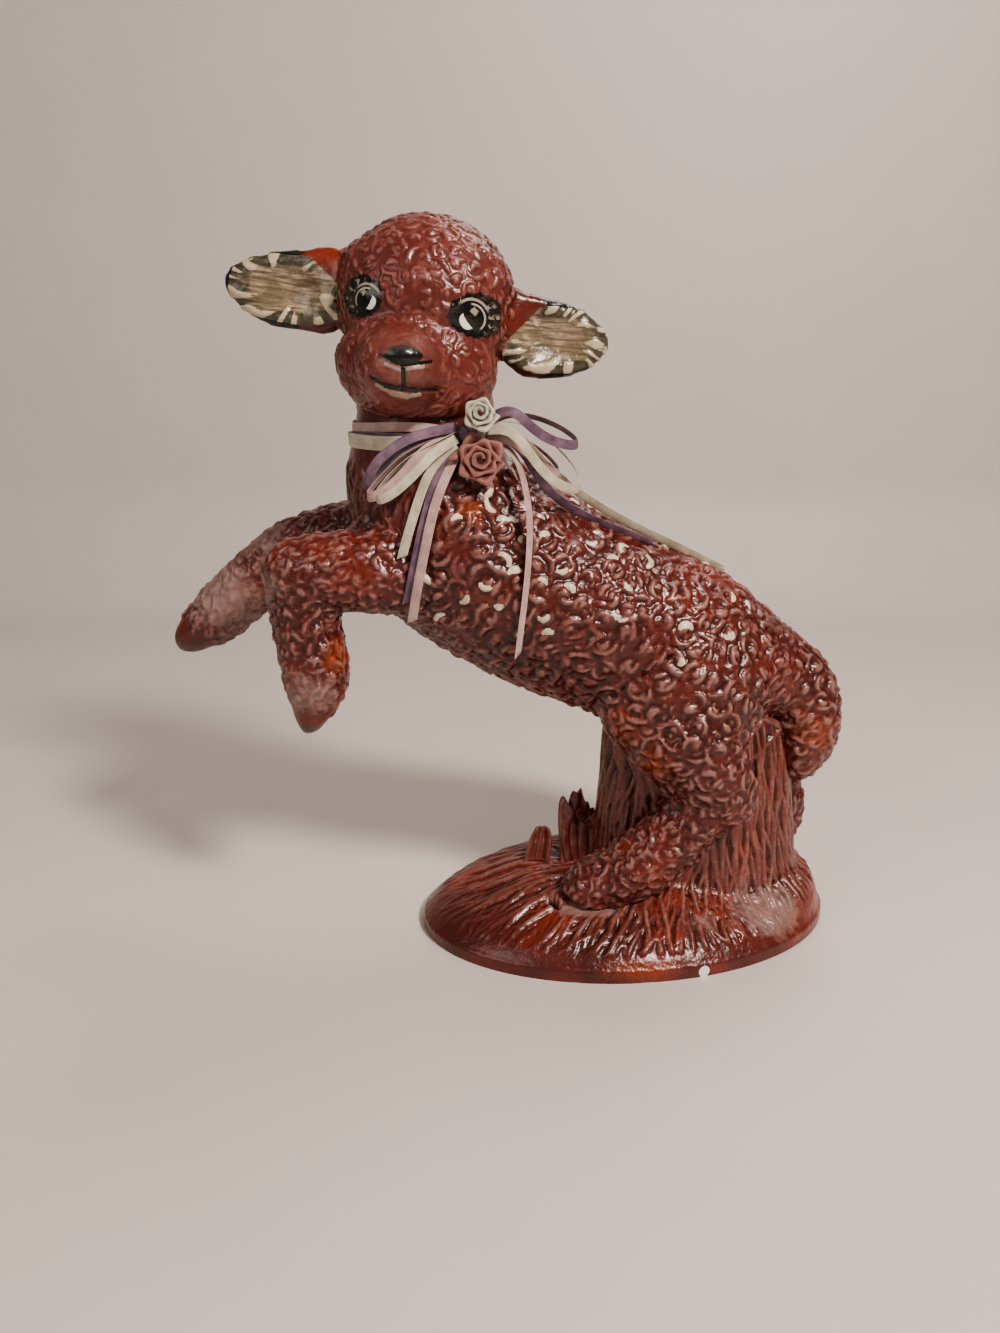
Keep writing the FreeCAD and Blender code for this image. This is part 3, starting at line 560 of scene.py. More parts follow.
# Each free ribbon: its node, its colour, its route and the way its width lies.
RIBBONS = (
    ("tail_left_cream", "cream",
     ((-0.0636, -0.0300, 0.1824), (-0.0690, -0.0310, 0.1780), (-0.0732, -0.0330, 0.1710),
      (-0.0762, -0.0350, 0.1626), (-0.0793, -0.0362, 0.1530), (-0.0815, -0.0369, 0.1447)),
     (1, 0, 0.35)),
    ("tail_left_lilac", "lilac",
     ((-0.0634, -0.0300, 0.1816), (-0.0672, -0.0318, 0.1750), (-0.0708, -0.0344, 0.1680),
      (-0.0730, -0.0368, 0.1600), (-0.0754, -0.0376, 0.1506), (-0.0776, -0.0374, 0.1404),
      (-0.0802, -0.0360, 0.1296)),
     (1, 0, 0.3)),
    ("tail_left_pink", "pink",
     ((-0.0624, -0.0298, 0.1808), (-0.0656, -0.0328, 0.1744), (-0.0686, -0.0364, 0.1676),
      (-0.0710, -0.0388, 0.1600), (-0.0732, -0.0396, 0.1500), (-0.0754, -0.0394, 0.1400),
      (-0.0772, -0.0386, 0.1310), (-0.0784, -0.0374, 0.1235)),
     (1, 0, 0.25)),
    ("tail_right_pink", "pink",
     ((-0.0536, -0.0246, 0.1826), (-0.0476, -0.0266, 0.1822), (-0.0436, -0.0282, 0.1774),
      (-0.0410, -0.0310, 0.1694), (-0.0394, -0.0336, 0.1590), (-0.0397, -0.0354, 0.1476),
      (-0.0407, -0.0362, 0.1356), (-0.0422, -0.0362, 0.1230), (-0.0435, -0.0358, 0.1115)),
     (1, 0, 0)),
    ("tail_back_cream", "cream",
     ((-0.0538, -0.0248, 0.1870), (-0.0464, -0.0252, 0.1870), (-0.0400, -0.0226, 0.1816),
      (-0.0330, -0.0184, 0.1736), (-0.0228, -0.0130, 0.1654), (-0.0104, -0.0086, 0.1574),
      (0.0044, -0.0060, 0.1498), (0.0195, -0.0036, 0.1429), (0.0335, -0.0012, 0.1354)),
     (0.40, -0.35, 0.75)),
    ("tail_back_lilac", "lilac",
     ((-0.0538, -0.0226, 0.1834), (-0.0472, -0.0242, 0.1842), (-0.0412, -0.0242, 0.1794),
      (-0.0366, -0.0226, 0.1710), (-0.0296, -0.0200, 0.1634), (-0.0193, -0.0160, 0.1572),
      (-0.0070, -0.0132, 0.1520), (0.0060, -0.0118, 0.1469)),
     (0.40, -0.35, 0.75)),
    ("loop_right_lilac", "lilac",
     ((-0.0536, -0.0270, 0.1892), (-0.0490, -0.0284, 0.1926), (-0.0442, -0.0296, 0.1924),
      (-0.0396, -0.0304, 0.1880), (-0.0344, -0.0306, 0.1842), (-0.0286, -0.0298, 0.1822),
      (-0.0242, -0.0274, 0.1818), (-0.0240, -0.0250, 0.1834), (-0.0288, -0.0234, 0.1870),
      (-0.0352, -0.0226, 0.1898), (-0.0420, -0.0224, 0.1914), (-0.0484, -0.0230, 0.1908),
      (-0.0530, -0.0242, 0.1882)),
     (0.25, 0, 1)),
    ("loop_right_cream", "cream",
     ((-0.0534, -0.0286, 0.1866), (-0.0482, -0.0298, 0.1874), (-0.0432, -0.0306, 0.1844),
      (-0.0394, -0.0304, 0.1790), (-0.0352, -0.0296, 0.1736), (-0.0300, -0.0282, 0.1692),
      (-0.0246, -0.0262, 0.1672), (-0.0220, -0.0228, 0.1690), (-0.0242, -0.0200, 0.1744),
      (-0.0294, -0.0186, 0.1800), (-0.0360, -0.0184, 0.1854), (-0.0434, -0.0194, 0.1892),
      (-0.0506, -0.0216, 0.1890)),
     (0.62, 0, 0.78)),
    ("loop_right_pink", "pink",
     ((-0.0536, -0.0270, 0.1842), (-0.0486, -0.0280, 0.1846), (-0.0438, -0.0276, 0.1824),
      (-0.0396, -0.0264, 0.1790), (-0.0356, -0.0250, 0.1754), (-0.0312, -0.0232, 0.1724),
      (-0.0292, -0.0208, 0.1728), (-0.0320, -0.0192, 0.1768), (-0.0368, -0.0192, 0.1808),
      (-0.0424, -0.0202, 0.1840), (-0.0488, -0.0214, 0.1852), (-0.0536, -0.0228, 0.1856)),
     (0.55, 0, 0.83)),
    ("loop_left_pink", "pink",
     ((-0.0638, -0.0272, 0.1846), (-0.0700, -0.0312, 0.1830), (-0.0756, -0.0332, 0.1784),
      (-0.0804, -0.0344, 0.1728), (-0.0856, -0.0350, 0.1682), (-0.0906, -0.0342, 0.1656),
      (-0.0926, -0.0316, 0.1660), (-0.0900, -0.0298, 0.1694), (-0.0856, -0.0300, 0.1739),
      (-0.0800, -0.0306, 0.1788), (-0.0730, -0.0304, 0.1822), (-0.0640, -0.0270, 0.1866)),
     (0.66, 0, -0.75)),
    ("loop_left_lilac", "lilac",
     ((-0.0634, -0.0278, 0.1876), (-0.0704, -0.0318, 0.1864), (-0.0774, -0.0328, 0.1846),
      (-0.0842, -0.0330, 0.1810), (-0.0896, -0.0324, 0.1758), (-0.0926, -0.0312, 0.1698),
      (-0.0924, -0.0292, 0.1676), (-0.0892, -0.0286, 0.1715), (-0.0848, -0.0300, 0.1772),
      (-0.0785, -0.0307, 0.1817), (-0.0709, -0.0300, 0.1848), (-0.0634, -0.0266, 0.1876)),
     (0.5, 0, -0.86)),
    ("loop_left_cream", "cream",
     ((-0.0632, -0.0294, 0.1840), (-0.0696, -0.0340, 0.1804), (-0.0744, -0.0360, 0.1754),
      (-0.0790, -0.0368, 0.1708), (-0.0840, -0.0366, 0.1668), (-0.0884, -0.0352, 0.1648),
      (-0.0896, -0.0324, 0.1664), (-0.0868, -0.0312, 0.1704), (-0.0824, -0.0312, 0.1748),
      (-0.0770, -0.0316, 0.1790), (-0.0706, -0.0316, 0.1822), (-0.0638, -0.0274, 0.1854)),
     (0.66, 0, -0.75)),
)


def make_ribbons():
    for node, colour, points, across in RIBBONS:
        line = ribbon_line(node, points)
        frames = stations(line, across)
        bm = swept(node, frames)
        tail = node.startswith("tail")
        if tail:
            end = trim(bm, frames, 0.7)
            line = [spot for spot in line if (spot - line[-1]).length > SNIP * 1.2] + [end]
        closed(bm)
        piece = made_piece(node + "_ribbon", bm, SATINS[colour], colour + "_satin", node)
        length = sum((b - a).length for a, b in zip(line, line[1:]))


make_ribbons()


# ------------------------------------------------------- collar, knot and roses

NECK = Vector((-0.07465, -0.0030, 0))
KNOT = Vector((-0.0584, -0.0262, 0.1852))
# Each turn: its node, its colour, its height, half its width and how far out it lies.
COLLARS = (("collar_pink", "pink", 0.1874, 0.0016, 0.0003),
           ("collar_lilac", "lilac", 0.1840, 0.0016, 0.0),
           ("collar_cream", "cream", 0.1826, 0.0024, 0.0005))


def make_collars():
    """Three turns of ribbon round the neck that draw together into the knot."""
    start = math.atan2(KNOT.y - NECK.y, KNOT.x - NECK.x)
    for order, (node, colour, level, half, out) in enumerate(COLLARS):
        line = []
        for step in range(121):
            angle = start + 2 * math.pi * step / 120
            near = min(step, 120 - step) / 120 * 360
            pull = math.exp(-(near / 26) ** 2)
            height = level + (KNOT.z - level) * pull * 0.85
            height += 0.0003 * math.sin(3 * angle + order * 2.1)
            radius = 0.02644 - (height - 0.180) * 0.285 + 0.0005 + out + 0.0006 * pull
            if colour == "lilac":
                cross = math.exp(-((360 - step * 3) / 34) ** 2)
                height -= 0.0030 * cross * (1 - pull)
                radius += 0.0012 * cross
            line.append(Vector((NECK.x + radius * math.cos(angle),
                                NECK.y + radius * math.sin(angle), height)))
        frames = stations(line, (0, 0, 1))
        bm = swept(node, frames, half, squeeze=lambda share: 1 - 0.35 * math.exp(
            -(min(share, 1 - share) * 360 / 16) ** 2))
        closed(bm)
        made_piece(node + "_band", bm, SATINS[colour], colour + "_satin", node)


make_collars()


def make_knot():
    """The lilac ribbon pulled round the others: a small creased bundle."""
    bm = bmesh.new()
    weave = bm.verts.layers.float_vector.new("weave")
    bmesh.ops.create_uvsphere(bm, u_segments=40, v_segments=28, radius=1.0)
    for vert in bm.verts:
        around = math.atan2(vert.co.z, vert.co.y)
        crease = 0.10 * math.cos(3 * vert.co.x * 3.1 + 0.5 * math.sin(around * 2))
        waist = 1 - 0.25 * abs(vert.co.x) ** 2
        scale = (1 + crease) * waist
        vert[weave] = (around * 0.003, vert.co.x * 0.0016, 0)
        vert.co = Vector((vert.co.x * 0.0030, vert.co.y * 0.0034 * scale,
                          vert.co.z * 0.0036 * scale))
    turn = Quaternion((0, 0, 1), math.radians(32)) @ Quaternion((0, 1, 0), math.radians(-14))
    spot = KNOT + Vector((-0.0010, -0.0012, 0.0004))
    matrix = Matrix.Translation(spot) @ turn.to_matrix().to_4x4()
    bmesh.ops.transform(bm, matrix=matrix, verts=bm.verts)
    bmesh.ops.recalc_face_normals(bm, faces=bm.faces)
    made_piece("bow_knot_wrap", bm, SATINS["lilac"], "lilac_satin", "bow_knot")


make_knot()

PETAL = ((0.0, 0.0), (0.35, 0.0), (0.62, 0.03), (0.82, 0.09), (0.95, 0.18), (1.0, 0.29),
         (0.98, 0.38), (0.92, 0.44))


def make_rose(name, centre, width, turns, tall, fold, lean, material, slot):
    """A ribbon coiled from a tight bud outwards, folded over at each corner."""
    bm = bmesh.new()
    weave = bm.verts.layers.float_vector.new("weave")
    thick = 0.00011
    outer, inner = [], []
    for index, (up, out) in enumerate(PETAL):
        before = PETAL[max(index - 1, 0)]
        after = PETAL[min(index + 1, len(PETAL) - 1)]
        run = Vector((after[0] - before[0], after[1] - before[1])).normalized()
        for side, verts in ((1, outer), (-1, inner)):
            vert = bm.verts.new((up * tall - run.y * thick * side,
                                 out * tall + run.x * thick * side, 0))
            vert[weave] = (0, index / (len(PETAL) - 1), 0)
            verts.append(vert)
    ring = outer + inner[::-1]
    edges = [bm.edges.new(pair) for pair in zip(ring, ring[1:] + ring[:1])]
    axis = (Vector((0, -1, 0)) + Vector(lean)).normalized()
    right = axis.cross(Vector((0, 0, 1))).normalized() * -1
    above = right.cross(axis) * -1
    steps = int(turns * 60)
    before = Matrix.Identity(4)
    largest = width / 2 - tall * 0.80
    for step in range(steps + 1):
        share = step / steps
        angle = 2 * math.pi * turns * share
        corner = 2 * math.pi / 5
        phase = (angle + math.floor(angle / (2 * math.pi)) * corner * 0.5) % corner - corner / 2
        side = math.cos(corner / 2) / math.cos(phase)
        bent = min(1, share * 1.6)
        radius = 0.0003 + (largest - 0.0003) * share ** 1.15
        radius *= 1 + (side / 0.9 - 1) * fold * bent
        opened = math.radians(2 + 56 * share)
        outward = right * math.cos(angle) + above * math.sin(angle)
        along = above * math.cos(angle) - right * math.sin(angle)
        up = axis * math.cos(opened) + outward * math.sin(opened)
        out = outward * math.cos(opened) - axis * math.sin(opened)
        pinch = 1 - 0.16 * fold * bent * math.cos(2 * math.pi * phase / corner)
        size = (0.70 + 0.30 * share) * pinch
        drop = tall * 0.50 * share ** 1.4
        spot = Vector(centre) + outward * radius - axis * (drop + tall * 0.55)
        turn = Matrix((up * size, out * size, along)).transposed().to_4x4()
        station = Matrix.Translation(spot) @ turn
        if step:
            made = bmesh.ops.extrude_edge_only(bm, edges=edges)["geom"]
            verts = [item for item in made if isinstance(item, bmesh.types.BMVert)]
            fresh = set(verts)
            edges = [item for item in made if isinstance(item, bmesh.types.BMEdge)
                     and item.verts[0] in fresh and item.verts[1] in fresh]
        else:
            verts = list(bm.verts)
        bmesh.ops.transform(bm, matrix=station @ before.inverted(), verts=verts)
        for vert in verts:
            vert[weave] = (share * 0.12, vert[weave][1], 0)
        before = station
    closed(bm)
    made_piece(name + "_petals", bm, material, slot, name)


# each rose: its satin colour, a darker tone as painted shade low in each turn, and a pale tone as
# a painted highlight along the rolled edges
make_rose("pink_rose", (-0.0556, -0.0362, 0.1780), 0.0157, 3.5, 0.0042, 1.0, (0.05, 0, 0.25),
          RoseSatin("rose_satin", paint(0.33, 0.135, 0.110), paint(0.090, 0.020, 0.016),
                    paint(0.50, 0.27, 0.225)).material, "rose_satin")
make_rose("white_rose", (-0.0556, -0.0350, 0.1925), 0.0104, 3.0, 0.0030, 0.7, (-0.1, 0, 0.3),
          RoseSatin("white_satin", paint(0.66, 0.62, 0.50), paint(0.30, 0.25, 0.16),
                    paint(0.80, 0.78, 0.68)).material, "white_satin")


# ----------------------------------------------------------------- castings: clay

def largest_shell(bm):
    """Delete all but the shell with the longest box, such as a cavity inside it."""
    left = set(bm.verts)
    shells = []
    while left:
        stack = [left.pop()]
        shell = list(stack)
        while stack:
            for edge in stack.pop().link_edges:
                for vert in edge.verts:
                    if vert in left:
                        left.remove(vert)
                        stack.append(vert)
                        shell.append(vert)
        low = [min(vert.co[axis] for vert in shell) for axis in range(3)]
        high = [max(vert.co[axis] for vert in shell) for axis in range(3)]
        shells.append((sum((b - a) ** 2 for a, b in zip(low, high)), shell))
    shells.sort(key=lambda row: row[0])
    for _, shell in shells[:-1]:
        bmesh.ops.delete(bm, geom=shell, context="VERTS")


def applied(mesh, modifiers):
    """A mesh with modifiers applied, each a type and its settings."""
    holder = bpy.data.objects.new("holder", mesh)
    collection.objects.link(holder)
    for kind, settings in modifiers:
        modifier = holder.modifiers.new(kind.lower(), kind)
        for key, value in settings.items():
            setattr(modifier, key, value)
    graph = bpy.context.evaluated_depsgraph_get()
    result = bpy.data.meshes.new_from_object(holder.evaluated_get(graph))
    bpy.data.objects.remove(holder)
    return result


def merged(names, prepare=None):
    """The outer shells of some CAD nodes in one mesh, and a search tree for each."""
    whole = bmesh.new()
    trees = []
    for name in names:
        bm = bmesh.new()
        bm.from_mesh(nodes[name].data)
        bmesh.ops.remove_doubles(bm, verts=bm.verts, dist=1e-6)
        if prepare:
            prepare(name, bm)
        largest_shell(bm)
        trees.append(BVHTree.FromBMesh(bm))
        part = bpy.data.meshes.new(name)
        bm.to_mesh(part)
        bm.free()
        whole.from_mesh(part)
    return whole, trees


def skin_of(whole, trees, voxel, smoothing, extra=None):
    """One blended skin over the castings, with each face given to its nearest casting."""
    mesh = bpy.data.meshes.new("clay")
    whole.to_mesh(mesh)
    whole.free()
    mesh = applied(mesh, [("REMESH", {"mode": "VOXEL", "voxel_size": voxel}),
                          ("SMOOTH", {"factor": 0.5, "iterations": smoothing})])
    bm = bmesh.new()
    bm.from_mesh(mesh)
    largest_shell(bm)
    if extra:
        extra(bm)
    for face in bm.faces:
        middle = face.calc_center_median()
        gaps = [tree.find_nearest(middle)[3] for tree in trees]
        face.material_index = gaps.index(min(gaps))
        face.smooth = True
    mesh = bpy.data.meshes.new("skin")
    bm.to_mesh(mesh)
    tree = BVHTree.FromBMesh(bm)
    bm.free()
    for index in range(len(trees)):
        mesh.materials.append(None)
    fine = applied(mesh, [("SUBSURF", {"levels": 2, "render_levels": 2})])
    return fine, tree


class Clay:
    """A fine skin as arrays: places, normals and what each vertex holds."""

    def __init__(self, mesh, tree):
        self.mesh = mesh
        self.tree = tree
        count = len(mesh.vertices)
        self.co = self.read(mesh.vertices, "co", count)
        self.lie = self.read(mesh.vertex_normals, "vector", count)
        pairs = np.empty(len(mesh.edges) * 2, np.int32)
        mesh.edges.foreach_get("vertices", pairs)
        self.pairs = pairs.reshape(-1, 2)
        self.degree = np.bincount(self.pairs.ravel(), minlength=count)
        self.fields = {}
        self.part = self.parts(count)
        self.index()

    def read(self, source, name, count):
        values = np.empty(count * 3, np.float32)
        source.foreach_get(name, values)
        return values.reshape(-1, 3)

    def parts(self, count):
        owner = np.zeros(count, np.int32)
        material = np.empty(len(self.mesh.polygons), np.int32)
        self.mesh.polygons.foreach_get("material_index", material)
        start = np.empty(len(self.mesh.polygons), np.int32)
        self.mesh.polygons.foreach_get("loop_start", start)
        corner = np.empty(len(self.mesh.loops), np.int32)
        self.mesh.loops.foreach_get("vertex_index", corner)
        for step in range(4):
            owner[corner[start + step]] = material
        return owner

    def index(self):
        self.near = KDTree(len(self.co))
        for index, spot in enumerate(self.co):
            self.near.insert(spot, index)
        self.near.balance()

    def settle(self):
        """Take stock again after the skin has been pushed about."""
        self.write()
        self.lie = self.read(self.mesh.vertex_normals, "vector", len(self.co))
        corner = np.empty(len(self.mesh.loops), np.int32)
        self.mesh.loops.foreach_get("vertex_index", corner)
        self.tree = BVHTree.FromPolygons(self.co.tolist(), corner.reshape(-1, 4).tolist())
        self.index()

    def field(self, name):
        return self.fields.setdefault(name, np.zeros(len(self.co), np.float32))

    def within(self, spot, reach):
        found = self.near.find_range(spot, reach)
        return np.fromiter((row[1] for row in found), np.int64, len(found))

    def blurred(self, values, rounds):
        first, second = self.pairs.T
        for _ in range(rounds):
            total = np.bincount(first, values[second], len(values))
            total += np.bincount(second, values[first], len(values))
            values = values * 0.5 + total / self.degree * 0.5
        return values.astype(np.float32)

    def swell(self, centre, reach, rise, way=None):
        """Push the skin out softly round a point, along its normals or one way."""
        gap = (self.co - np.array(centre, np.float32)) / np.array(reach, np.float32)
        share = np.exp(-(gap * gap).sum(1))[:, None] * rise
        push = self.lie if way is None else np.array(way, np.float32)
        self.co = self.co + share * push

    def scatter(self, spacing, allowed):
        """Sites on the skin, each at least its own spacing from those before it."""
        free = allowed.copy()
        sites = []
        for index in draw.permutation(np.flatnonzero(allowed)):
            if free[index]:
                sites.append(index)
                free[self.within(self.co[index], spacing[index])] = False
        return sites

    def own(self, sites):
        """How far each vertex is from its nearest site."""
        tree = KDTree(len(sites))
        for order, site in enumerate(sites):
            tree.insert(self.co[site], order)
        tree.balance()
        return np.array([tree.find(spot)[2] for spot in self.co], np.float32)

    def ridge(self, path, half, rise, marks=(), centre=None, cell=None):
        """Raise a rounded ridge along a path, with a half width and a rise at each point."""
        path = np.array(path, np.float32)
        middle = path.mean(0)
        reach = np.linalg.norm(path - middle, axis=1).max() + max(half)
        index = self.within(middle, float(reach))
        if not len(index):
            return
        spots = self.co[index]
        start = path[:-1]
        step = path[1:] - start
        share = ((spots[:, None] - start) * step).sum(-1) / ((step * step).sum(-1) + 1e-12)
        share = share.clip(0, 1)
        gap = np.linalg.norm(spots[:, None] - start - share[..., None] * step, axis=-1)
        nearest = gap.argmin(1)
        rows = np.arange(len(index))
        along = nearest + share[rows, nearest]
        stops = np.arange(len(path))
        wide = np.interp(along, stops, half)
        ratio = gap[rows, nearest] / np.maximum(wide, 1e-6)
        inside = np.clip(1 - ratio * ratio, 0, 1)
        lift = np.interp(along, stops, rise) * inside ** 0.62
        if cell is not None:
            extra = np.linalg.norm(spots - self.co[centre], axis=1) - cell[index]
            keep = np.clip(1.6 - extra / 0.0010, 0, 1)
            lift = lift * keep
            inside = inside * keep
        relief = self.field("relief")
        relief[index] = np.maximum(relief[index], lift)
        for mark, strength in marks:
            values = self.field(mark)
            values[index] = np.maximum(values[index], strength * inside ** 0.5)

    def snapped(self, spot):
        return self.tree.find_nearest(spot)[0]

    def sense(self, site, turn):
        """Two directions in the skin at a site, turned by an angle."""
        normal = Vector(self.lie[site])
        first = normal.orthogonal().normalized()
        first.rotate(Quaternion(normal, turn))
        return first, normal.cross(first), Vector(self.co[site])

    def arc(self, site, turn, radius, start, span, shift=(0, 0), squash=1.0, wind=0.0):
        """An arc round a site: squashed one way, and winding outwards as it goes."""
        first, second, spot = self.sense(site, turn)
        points = []
        for step in range(11):
            angle = start + span * step / 10
            reach = radius * (1 + wind * (step / 10 - 0.5))
            place = spot + first * (reach * math.cos(angle) + shift[0])
            place += second * (reach * squash * math.sin(angle) + shift[1])
            points.append(self.snapped(place))
        return points

    def walk(self, start, heading, length, bend, steps=12):
        """A path over the skin that starts one way and bends as it goes."""
        spot, normal = self.tree.find_nearest(start)[:2]
        heading = Vector(heading)
        points = [spot]
        for step in range(steps):
            heading = (heading - normal * heading.dot(normal)).normalized()
            heading.rotate(Quaternion(normal, bend(step / steps) / steps))
            spot, normal = self.tree.find_nearest(spot + heading * length / steps)[:2]
            points.append(spot)
        return points

    def raise_skin(self, most):
        """Move the vertices by their relief, then hold how proud and how hollow they are."""
        relief = self.blurred(self.field("relief"), 1)
        self.co = self.co + self.lie * relief[:, None]
        mean = self.blurred(relief, 7)
        self.fields["crest"] = np.clip((relief - 0.6 * mean) / (0.55 * most), 0, 1)
        self.write()
        self.lie = self.read(self.mesh.vertex_normals, "vector", len(self.co))
        first, second = self.pairs.T
        pull = np.zeros_like(self.co)
        for axis in range(3):
            pull[:, axis] = np.bincount(first, self.co[second, axis], len(self.co))
            pull[:, axis] += np.bincount(second, self.co[first, axis], len(self.co))
        pull = pull / self.degree[:, None] - self.co
        curve = (pull * self.lie).sum(1)
        curve = self.blurred(curve, 2)
        scale = np.percentile(np.abs(curve), 92) + 1e-9
        self.fields["hollow"] = np.clip(curve / scale, -1, 1)

    def write(self):
        self.mesh.vertices.foreach_set("co", self.co.astype(np.float32).ravel())
        self.mesh.update()

    def hold(self, names):
        for name in names:
            layer = self.mesh.attributes.new(name, "FLOAT", "POINT")
            layer.data.foreach_set("value", self.field(name).astype(np.float32))

    def pieces(self, names, materials, slots, feet=None):
        """Cut the skin into one closed piece for each casting."""
        lie = self.mesh.attributes.new("lie", "FLOAT_VECTOR", "POINT")
        lie.data.foreach_set("vector", self.lie.astype(np.float32).ravel())
        for order, name in enumerate(names):
            bm = bmesh.new()
            bm.from_mesh(self.mesh)
            others = [face for face in bm.faces if face.material_index != order]
            bmesh.ops.delete(bm, geom=others, context="FACES")
            if feet and name in feet:
                feet[name](bm)
            holes = [edge for edge in bm.edges if edge.is_boundary]
            caps = bmesh.ops.holes_fill(bm, edges=holes, sides=0)["faces"]
            bmesh.ops.triangulate(bm, faces=caps)
            for face in bm.faces:
                face.material_index = 0
            piece = made_piece(name + "_glazed", bm, materials[order], slots[order], name)
            mesh = piece.data
            normals = self.read(mesh.attributes["lie"].data, "vector", len(mesh.vertices))
            mesh.normals_split_custom_set_from_vertices(normals)
            mesh.attributes.remove(mesh.attributes["lie"])


# ------------------------------------------------------------ castings: the wool

TAPER = [math.sin(math.pi * (0.07 + 0.86 * step / 10)) ** 0.6 for step in range(11)]


def curl(clay, site, size, rise, cell, dabbed=False):
    """One lock of wool: a bead with crescents round it, nested crescents or a fat comma."""
    turn = chance.uniform(0, 2 * math.pi)
    kind = chance.random()
    squash = chance.uniform(0.62, 1.0)
    lock = []
    if kind < 0.42:
        open_at = chance.uniform(0, 1.0)
        lock.append((0.0009, 0, 2.8, 1.45, (0, 0)))
        lock.append((0.0030, open_at, chance.uniform(1.8, 3.3), 1.15, (0, 0)))
        lock.append((0.0050, open_at + chance.uniform(2.0, 4.2), chance.uniform(1.2, 2.4), 1.15,
                     (0, 0)))
    elif kind < 0.72:
        span = chance.uniform(1.5, 2.5)
        slide = chance.uniform(-0.0016, -0.0004)
        for radius, wide in ((0.0016, 1.30), (0.0040, 1.15)):
            lock.append((radius, 0.5 * chance.random(), span, wide, (slide, slide)))
        lock.append((0.0034, span + 1.4, chance.uniform(1.2, 2.0), 1.05, (0, 0)))
    else:
        lock.append((0.0020, 0, chance.uniform(2.0, 2.9), 1.70, (0, 0)))
        lock.append((0.0046, 2.8, chance.uniform(1.6, 2.6), 1.15, (0, 0)))
    for order, (radius, start, span, wide, shift) in enumerate(lock):
        path = clay.arc(site, turn, radius * size, start, span,
                        (shift[0] * size, shift[1] * size), squash, chance.uniform(-0.1, 0.5))
        lean = chance.uniform(0.7, 1.3)
        fat = [share ** lean for share in TAPER]
        half = [0.001 * size * wide * (0.30 + 0.70 * share) for share in fat]
        high = [rise * share * (1.0 if order == 0 else 0.90) for share in fat]
        clay.ridge(path, half, high, (), site, cell)
    if dabbed:
        path = clay.arc(site, turn, chance.uniform(0.0016, 0.0030), 0, chance.uniform(0.9, 2.3),
                        (chance.uniform(-0.001, 0.001), chance.uniform(-0.001, 0.001)))
        fat = chance.uniform(0.0010, 0.0017)
        clay.ridge(path, [fat * (0.4 + 0.6 * share) for share in TAPER],
                   [rise * 0.95 * share for share in TAPER], [("dab", 1.0)])


def strand(clay, start, heading, length, half, rise, bend, marks=()):
    """A tapered strand that runs over the skin."""
    wobble = chance.uniform(0, 6.3)
    path = clay.walk(start, heading, length, lambda share: bend * math.cos(5 * share + wobble))
    shape = [math.sin(math.pi * (0.12 + 0.84 * step / 12)) ** 0.55 for step in range(13)]
    clay.ridge(path, [half * (0.25 + 0.75 * share) for share in shape],
               [rise * share for share in shape], marks)


def fade(values, low, high):
    share = np.clip((values - low) / (high - low), 0, 1)
    return share * share * (3 - 2 * share)


def zone(clay, name, centre, reach, strength=1.0):
    gap = (clay.co - np.array(centre, np.float32)) / reach
    values = clay.field(name)
    np.maximum(values, strength * np.exp(-(gap * gap).sum(1)), out=values)


def away(clay, spot):
    return np.linalg.norm(clay.co - np.array(spot, np.float32), axis=1)


WOOL = Glaze("wool_glaze", rub=0.62, orange=0.25).done()


